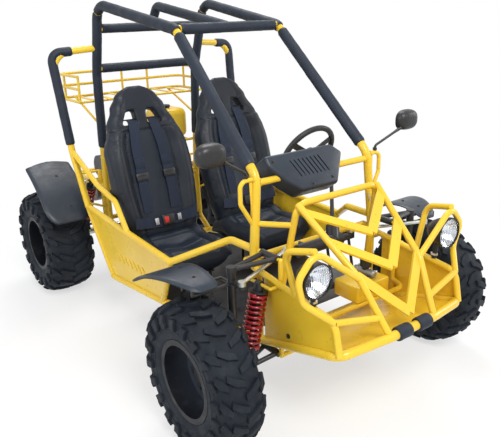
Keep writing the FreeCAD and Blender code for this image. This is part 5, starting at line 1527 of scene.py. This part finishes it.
# The cowl's outline on its leaning face: x, and the share of its height.
COWL_OUTLINE = [(-0.112, 0.0), (0.062, 0.0), (0.140, 0.74), (0.101, 1.0), (-0.216, 1.0),
                (-0.216, 0.74), (-0.164, 0.31)]
BARREL_NOSE = at(0.010, 1.300, 0.460)
FIN_COUNT = 8
FIN_SPACING = 0.094 / FIN_COUNT
SPARK_PLUG = [(-0.020, 0.001), (-0.020, 0.009), (-0.008, 0.011), (0.002, 0.011), (0.002, 0.001)]
FAN_COVER = [(-0.010, 0.001), (-0.010, 0.066), (0.011, 0.066), (0.015, 0.062), (0.015, 0.032),
             (0.019, 0.028), (0.019, 0.001)]
TANK_CAP = [(-0.001, 0.001), (-0.001, 0.022), (0.004, 0.022), (0.004, 0.0265), (0.014, 0.0265),
            (0.017, 0.023), (0.017, 0.001)]


def arc_height(low, middle, high):
    """A function of a place back: the height there of the circle through three pairs, or of
    one that lies an inset inside it."""
    (a, b), (c, d), (e, f) = low, middle, high
    twice = 2 * (a * (d - f) + c * (f - b) + e * (b - d))
    first, second, third = a * a + b * b, c * c + d * d, e * e + f * f
    back = (first * (d - f) + second * (f - b) + third * (b - d)) / twice
    z = (first * (e - c) + second * (a - e) + third * (c - a)) / twice
    radius = math.hypot(a - back, b - z)
    return lambda place, inset=0.0: z + math.sqrt((radius - inset) ** 2 - (place - back) ** 2)


def sheet(name, backs, edges, height, lip):
    """A moulded sheet over an arc, between its two edges, with a lip turned down round it."""
    half = FENDER_THICKNESS / 2
    rows = []
    low_rows = []
    for back in backs:
        inner, outer = edges(back)
        places = []
        for column in range(SHEET_COLUMNS + 1):
            share = column / SHEET_COLUMNS
            near = min(min(share, 1 - share) * (outer - inner), abs(back - backs[0]),
                       abs(backs[-1] - back))
            places.append((inner + (outer - inner) * share, lip * (1 - ease(near / LIP_WIDTH))))
        rows.append([at(x, back, height(back, -half) - drop) for x, drop in places])
        low_rows.append([at(x, back, height(back, half) - drop) for x, drop in places])
    count = SHEET_COLUMNS + 1
    points = [point for row in rows + low_rows for point in row]
    under = len(rows) * count
    faces = []
    for index in range(len(rows) - 1):
        for corner in range(index * count, index * count + SHEET_COLUMNS):
            faces.append((corner, corner + 1, corner + count + 1, corner + count))
            faces.append((under + corner, under + corner + count, under + corner + count + 1,
                          under + corner + 1))
    rim = list(range(count)) + [index * count + SHEET_COLUMNS for index in range(1, len(rows))]
    rim += list(range(under - 2, under - count - 1, -1))
    rim += [index * count for index in range(len(rows) - 2, 0, -1)]
    for first, last in zip(rim, rim[1:] + rim[:1]):
        faces.append((first, under + first, under + last, last))
    made = outward(solid(name, points, faces, BODY_PLASTIC))
    sharpen(made, SHEET_SHARP)
    return made


def spread_backs(first, last, count):
    """Places from first to last that lie closer together at both ends."""
    return [first + (last - first) * (1 - math.cos(math.pi * step / count)) / 2
            for step in range(count + 1)]


def corner_pull(corner, near):
    """How far a rounded corner draws an edge in, at a distance from the sheet's end."""
    missing = max(corner - near, 0.0)
    return corner - math.sqrt(max(corner * corner - missing * missing, 0.0))


def front_fender_edges(back):
    first, last = FRONT_FENDER_BACKS
    share = min(max((back - first) / (last - first), 0.0), 1.0)
    outer = FRONT_FENDER_OUTER + FRONT_FENDER_FLARE * math.sin(math.pi / 2 * share) ** 0.8
    pull = corner_pull(FRONT_CORNER, min(back - first, last - back))
    return FRONT_FENDER_INNER + pull, outer - pull


def rear_fender_edges(back):
    first, last = REAR_FENDER_BACKS
    pull = corner_pull(REAR_CORNER, back - first)
    taper = 0.94 * max(0.0, 1 - (last - back) / REAR_FENDER_TAPER)
    return (REAR_FENDER_INNER + pull + (REAR_FENDER_PEAK - REAR_FENDER_INNER) * taper,
            REAR_FENDER_OUTER - pull - (REAR_FENDER_OUTER - REAR_FENDER_PEAK) * taper)


def make_fenders():
    """The front fenders turn with the wheels, and the rear ones are one piece on the frame."""
    left = sheet("front_fender_sheet_left", spread_backs(*FRONT_FENDER_BACKS, 26),
                 front_fender_edges, arc_height(*FRONT_FENDER_ARC), 0.005)
    for made, side_name in ((left, "left"), (mirrored(left, "front_fender_sheet_right"), "right")):
        node = "front_fender_" + side_name
        MADE[node] = declared(made, "knuckle_" + side_name, node)
    left = sheet("rear_fender_sheet", spread_backs(*REAR_FENDER_BACKS, 34), rear_fender_edges,
                 arc_height(*REAR_FENDER_ARC), 0.006)
    parts = [left, mirrored(left, "rear_fender_right")]
    MADE["rear_fenders"] = assembled("rear_fender_sheets", parts, SHEET_SHARP,
                                     "root", "rear_fenders")


def tube_of(name, points, radius, bend=0.0):
    """A yellow tube along points, bent at those between its ends."""
    line = bent_line(points, bend, 0.006) if len(points) > 2 else spaced(points, 0.012)
    return piping(name, line, radius, YELLOW, TUBE_SIDES)


def tubes_both(name, points, radius, bend=0.0):
    """A tube of the left side, and its mirror image."""
    return [tube_of(name, on_side(points, sign), radius, bend) for sign in (1, -1)]


def cross_tube(name, spot, radius):
    return tube_of(name, [flipped(spot), spot], radius)


def make_rear_frame():
    """The tubes round the engine, and the rods that reach under the rear fenders."""
    height = arc_height(*REAR_FENDER_ARC)
    rail, post_high = CAGE_SIDE[:2]
    rail_end, pivot = at(*REAR_END, RAIL_Z), at(*SWING_PIVOT)
    post = at_height(rail, post_high, TANK_SHELF_Z)
    under = height(1.430, 0.0023 + FENDER_ROD)
    low_under = height(1.290, 0.0023 + FENDER_ROD)
    sides = (
        ([rail, rail_end, at(*REAR_END, REAR_DROP), pivot], FRAME_TUBE, 0.045),
        ([rail, pivot, at(*LOWER_REAR)], FRAME_TUBE, 0.045),
        ([at(0.272, *ENGINE_MOUNT), at(0.272, ENGINE_MOUNT[0], RAIL_Z)], MOUNT_TUBE, 0),
        ([at(0.272, 1.430, RAIL_Z), at(0.272, 1.430, under)], MOUNT_TUBE, 0),
        ([at(0.272, 1.430, 0.590), at(0.350, 1.430, 0.590)], 0.006, 0),
        ([at(0.272, 1.430, under), at(FENDER_ROD_X, 1.430, under)], FENDER_ROD, 0),
        ([at(0.272, 1.360, 0.455), at(0.380, 1.290, low_under),
          at(FENDER_ROD_X, 1.290, low_under)], FENDER_ROD, 0.030))
    parts = []
    for points, radius, bend in sides:
        parts += tubes_both("rear_tube", points, radius, bend)
    for spot in (rail_end, rail, pivot):
        parts.append(cross_tube("rear_cross", spot, FRAME_TUBE))
    for spot in (at(0.272, 1.540, RAIL_Z), at(0.272, *ENGINE_MOUNT)):
        parts.append(cross_tube("engine_mount", spot, MOUNT_TUBE))
    parts.append(cross_tube("tank_cross", post, TANK_TUBE))
    for x in (0.105, 0.225):
        stay = [Vector((x, post.y, TANK_SHELF_Z)), at(x, 1.560, TANK_SHELF_Z),
                at(x, 1.540, RAIL_Z)]
        parts.append(tube_of("tank_stay", stay, TANK_TUBE, 0.02))
    assembled("rear_frame_tubes", parts, 0.7, "root", "rear_frame")


def make_brackets():
    """The yellow loops that hold the mirrors, and the plate inside each."""
    top, low = pillar_at(BRACKET_TOP_Z), pillar_at(0.690)
    corner_high, corner_low = (Vector((0.342, top.y, z)) for z in (BRACKET_TOP_Z, 0.782))
    parts = tubes_both("bracket", [top, corner_high, corner_low, low], 0.008, 0.026)
    web_top = top.lerp(corner_high, 0.3)
    run = (low - web_top).normalized()
    across = BACKWARD.cross(run).normalized()
    web = block("web", (web_top + low) / 2, (across, BACKWARD, run),
                (0.020, 0.003, (low - web_top).length), YELLOW, 0.0008)
    parts += [web, mirrored(web, "web_right")]
    assembled("mirror_brackets", parts, 0.7)


def make_nose_box():
    """The box that carries the brake cylinder, on the tube between the towers."""
    box = block("box", at(0.085, -0.0805, 0.4173), AXES, (0.170, 0.121, 0.064), YELLOW, 0.007)
    sharpen(box, SOFT_ANGLE)
    made = join("nose_box", [tube_of("nose_tube", NOSE_TUBE_PATH, 0.010, 0.040), box])
    declared(made)


def cowl_point(x, share, depth=0.0):
    """A place on the cowl's leaning face, or behind it."""
    low, high = at(x, 0.026, 0.800), at(x, 0.112, 0.926)
    rise = (high - low).normalized()
    return low.lerp(high, share) + Vector((0, rise.z, -rise.y)) * depth


COWL_INWARD = cowl_point(0, 0, 1) - cowl_point(0, 0)


def cowl_block(name, inset, first, last):
    """The cowl's outline, drawn in by an inset and carried from one depth to another."""
    centre = cowl_point(-0.025, 0.5)
    corners = [cowl_point(x, share) for x, share in COWL_OUTLINE]
    corners = [corner + (centre - corner).normalized() * inset for corner in corners]
    points = [corner + COWL_INWARD * depth for depth in (first, last) for corner in corners]
    count = len(corners)
    faces = [tuple(range(count)), tuple(range(2 * count - 1, count - 1, -1))]
    for index in range(count):
        after = (index + 1) % count
        faces.append((index, count + index, count + after, after))
    return outward(solid(name, points, faces, BODY_PLASTIC))


def make_cowl():
    """A hollow moulded cowl, open at the rear, with eight leaning louvres."""
    cowl = bevelled(cowl_block("dash_cowl_shell", 0.0, 0.0, 0.076), 0.012, 5, 0.35)
    cut_by(cowl, bevelled(cowl_block("hollow", 0.004, 0.004, 0.120), 0.009, 5, 0.35))
    slots = []
    for index in range(8):
        x = -0.092 + 0.019 * index
        low, high = cowl_point(x, 0.34), cowl_point(x - 0.026, 0.78)
        run = (high - low).normalized()
        slots.append(block("slot", (low + high) / 2, (COWL_INWARD.cross(run), COWL_INWARD, run),
                           (0.006, 0.020, (high - low).length), BODY_PLASTIC, 0.0022))
    cut_by(cowl, join("slots", slots))
    rise = (cowl_point(0, 1) - cowl_point(0, 0)).normalized()
    parts = [cowl, block("backing", cowl_point(-0.038, 0.56, 0.0105), (LEFT, COWL_INWARD, rise),
                         (0.196, 0.0135, 0.098), BODY_PLASTIC, 0.001)]
    for x in (-0.0685, 0.0272):
        root = cowl_point(x, 0.365, 0.002)
        cross = Vector((x, pillar_at(COWL_TUBE_Z).y, COWL_TUBE_Z))
        parts.append(block("tab", (root + cross) / 2, AXES,
                           (0.026, abs(cross.y - root.y) + 0.004, 0.004), BODY_PLASTIC, 0.001))
    MADE["dash_cowl"] = assembled("dash_cowl_moulded", parts, 0.5, "root",
                                  "dash_cowl")


def make_panel_ribs():
    """The row of pressed ribs on each side panel."""
    surface = node_surface("side_panels")
    lean = Vector((0, 0.014, 0.044)).normalized()
    parts = []
    for index in range(7):
        back = 0.700 + 0.236 * index / 6
        place, normal = surface.ray_cast(at(0.9, back, 0.352), RIGHT, 2.0)[:2]
        if place is None:
            continue
        if normal.x < 0:
            normal = -normal
        run = (lean - normal * lean.dot(normal)).normalized()
        rib = block("rib", place + normal * 0.0006, (normal, run.cross(normal), run),
                    (0.0062, 0.0085, 0.046), YELLOW, 0.0026)
        parts += [rib, mirrored(rib, "rib_right")]
    assembled("panel_ribs", parts, SOFT_ANGLE)


def ring_spot(centre, turn, radius, out=0.0):
    """A place on a circle that stands along the buggy, or to its left by out."""
    return Vector((centre.x + out, centre.y + math.cos(turn) * radius,
                   centre.z + math.sin(turn) * radius))


def make_engine():
    """A finned cylinder with its spark plug and port, a rounded case and the fan's cover."""
    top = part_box("engine")[1].z
    case_low, case_high = at(-0.085, 1.420, 0.385), Vector((0.105, at(0, 1.560, 0).y, top))
    profile = [(0.0, 0.001), (0.0, 0.050), (0.004, 0.054), (0.026, 0.054), (0.026, 0.046)]
    for index in range(FIN_COUNT):
        foot = 0.026 + FIN_SPACING * (index + 0.5) - 0.002
        profile += [(foot, 0.046), (foot + 0.0004, 0.0615), (foot + 0.0036, 0.0615),
                    (foot + 0.004, 0.046)]
    profile += [(0.124, 0.046), (0.124, 0.001)]
    middle = at(-0.085, 1.490, (0.385 + top) / 2)
    parts = [
        block("case", (case_low + case_high) / 2, AXES, tuple(case_high - case_low), ALLOY, 0.018),
        lathe("barrel", profile, 64, BARREL_NOSE, BACKWARD, ALLOY),
        lathe("spark_plug", SPARK_PLUG, HEXAGON, BARREL_NOSE, BACKWARD, BRIGHT_STEEL),
        piping("port", [at(0.010, 1.360, 0.425), at(0.010, 1.360, 0.398)], 0.018, ALLOY, 24),
        lathe("fan_cover", FAN_COVER, 56, middle, RIGHT, ALLOY)]
    for index in range(6):
        parts += bolt(ring_spot(middle, 2 * math.pi * index / 6, 0.054, -0.015), RIGHT, 0.0042)
    assembled("engine_outside", parts, 0.5, "root", "engine")


def make_transmission_ribs():
    """Ribs over the transmission's case, and bolts round its two ends."""
    start, end = at(0.157, 1.508, 0.400), at(0.157, 1.758, 0.400)
    parts = [block("case_rib", start.lerp(end, (index + 0.5) / 6), AXES, (0.010, 0.006, 0.122),
                   ALLOY, 0.0018) for index in range(6)]
    for index in range(8):
        hub, reach = (start, 0.080) if index < 5 else (end, 0.066)
        parts += bolt(ring_spot(hub, math.pi * (0.5 + index / 4), reach), LEFT, 0.0040)
    assembled("transmission_ribs", parts, 0.5)


def make_tank_cap():
    made = lathe("tank_cap", TANK_CAP, 18, at(0.165, 1.475, 0.910), UP, LAMP_PLASTIC)
    sharpen(made, 0.4)
    declared(made)


# Stage, lamps and camera

FLOOR_HALF = 30.0
CAMERA_PLACE = Vector((-1.47515, -2.21344, 1.3955))
CAMERA_AZIMUTH = math.radians(-36.55)
CAMERA_ELEVATION = math.radians(18.8)
CAMERA_ROLL = math.radians(-1.565)
CAMERA_LENS_MM = 43.58
CAMERA_SENSOR_MM = 36.0


def with_inputs(tree, kind, **inputs):
    """A shader node with plain values in some of its sockets."""
    made = tree.nodes.new(kind)
    for name, value in inputs.items():
        made.inputs[name.replace("_", " ")].default_value = value
    return made


def math_node(tree, operation, first, second):
    """The output of a Math node that takes two other outputs."""
    made = tree.nodes.new("ShaderNodeMath")
    made.operation = operation
    tree.links.new(first, made.inputs[0])
    tree.links.new(second, made.inputs[1])
    return made.outputs["Value"]


def blend_to(tree, factor, first, second, output):
    """Mixes two shaders into the tree's output."""
    blend = tree.nodes.new("ShaderNodeMixShader")
    tree.links.new(factor, blend.inputs["Fac"])
    tree.links.new(first, blend.inputs[1])
    tree.links.new(second, blend.inputs[2])
    tree.links.new(blend.outputs["Shader"], tree.nodes[output].inputs["Surface"])


def background_rays(tree):
    """One where the camera, a reflection or glass looks at the background, and zero for the
    light it gives."""
    rays = tree.nodes.new("ShaderNodeLightPath").outputs
    seen = rays["Is Camera Ray"]
    for other in ("Is Glossy Ray", "Is Transmission Ray"):
        seen = math_node(tree, "MAXIMUM", seen, rays[other])
    return seen


def make_stage():
    """A white floor that takes the shadow near the buggy and fades to plain white further out."""
    material = bpy.data.materials.new("pale_floor")
    material.use_nodes = True
    tree = material.node_tree
    shader = tree.nodes["Principled BSDF"]
    shader.inputs["Base Color"].default_value = (0.88, 0.88, 0.88, 1.0)
    shader.inputs["Roughness"].default_value = 0.8
    shader.inputs["Specular IOR Level"].default_value = 0.1
    glow = with_inputs(tree, "ShaderNodeEmission", Color=(1.0, 1.0, 1.0, 1.0), Strength=1.0)
    far = tree.nodes.new("ShaderNodeVectorMath")
    far.operation = "LENGTH"
    place = tree.nodes.new("ShaderNodeNewGeometry")
    tree.links.new(place.outputs["Position"], far.inputs[0])
    fade = with_inputs(tree, "ShaderNodeMapRange", From_Min=0.9, From_Max=2.6, To_Min=0.62,
                       To_Max=1.0)
    fade.interpolation_type = "SMOOTHSTEP"
    tree.links.new(far.outputs["Value"], fade.inputs["Value"])
    share = math_node(tree, "MULTIPLY", background_rays(tree), fade.outputs["Result"])
    blend_to(tree, share, shader.outputs["BSDF"], glow.outputs["Emission"], "Material Output")
    corners = [(x * FLOOR_HALF, y * FLOOR_HALF, 0) for x, y in ((-1, -1), (1, -1), (1, 1), (-1, 1))]
    solid("floor", corners, [(0, 1, 2, 3)], material, smooth=False)


def make_world():
    """A soft blue-white light, with plain white where it is looked at."""
    world = bpy.data.worlds.new("studio")
    bpy.context.scene.world = world
    world.use_nodes = True
    tree = world.node_tree
    soft = tree.nodes["Background"]
    soft.inputs["Color"].default_value = (0.92, 0.95, 1.0, 1.0)
    soft.inputs["Strength"].default_value = 0.55
    white = with_inputs(tree, "ShaderNodeBackground", Color=(1.0, 1.0, 1.0, 1.0), Strength=1.0)
    blend_to(tree, background_rays(tree), soft.outputs["Background"],
             white.outputs["Background"], "World Output")


def area_lamp(name, place, target, size, watts, colour):
    lamp = bpy.data.lights.new(name, "AREA")
    lamp.shape = "DISK"
    lamp.size = size
    lamp.energy = watts
    lamp.color = colour
    made = linked(name, lamp)
    made.location = place
    made.rotation_mode = "QUATERNION"
    made.rotation_quaternion = (target - made.location).to_track_quat("-Z", "Y")


def make_lamps():
    middle = Vector((0, 0, 0.6))
    for name, place, size, watts, colour in (
            ("key_lamp", (-1.2, -4.2, 4.6), 2.4, 225.0, (1.0, 0.98, 0.95)),
            ("fill_lamp", (-4.8, -0.8, 2.6), 3.0, 60.0, (0.95, 0.97, 1.0)),
            ("top_lamp", (1.5, 1.8, 5.2), 3.0, 130.0, (1.0, 1.0, 1.0)),
            ("side_lamp", (4.6, -2.2, 2.4), 2.4, 60.0, (1.0, 0.99, 0.97))):
        area_lamp(name, place, middle, size, watts, colour)


def make_camera():
    level = math.cos(CAMERA_ELEVATION)
    back = Vector((math.sin(CAMERA_AZIMUTH) * level, -math.cos(CAMERA_AZIMUTH) * level,
                   math.sin(CAMERA_ELEVATION)))
    forward = -back
    right = forward.cross(UP).normalized()
    up = right.cross(forward)
    rolled_right = right * math.cos(CAMERA_ROLL) + up * math.sin(CAMERA_ROLL)
    rolled_up = up * math.cos(CAMERA_ROLL) - right * math.sin(CAMERA_ROLL)
    camera = linked("camera", bpy.data.cameras.new("camera"))
    camera.data.lens = CAMERA_LENS_MM
    camera.data.sensor_width = CAMERA_SENSOR_MM
    turn = Matrix((rolled_right, rolled_up, back)).transposed().to_4x4()
    camera.matrix_world = Matrix.Translation(CAMERA_PLACE) @ turn
    bpy.context.scene.camera = camera


make_camera()
make_world()
make_lamps()
make_stage()
make_tyres()
make_harness(*make_seats())
make_sleeves()
make_headlamps()
make_fenders()
make_rear_frame()
make_brackets()
make_nose_box()
make_cowl()
make_panel_ribs()
make_engine()
make_transmission_ribs()
make_tank_cap()
make_mirrors()
make_springs()
make_brake_cylinder()
make_welds()
make_bolts()

bpy.context.scene.view_settings.view_transform = "Standard"
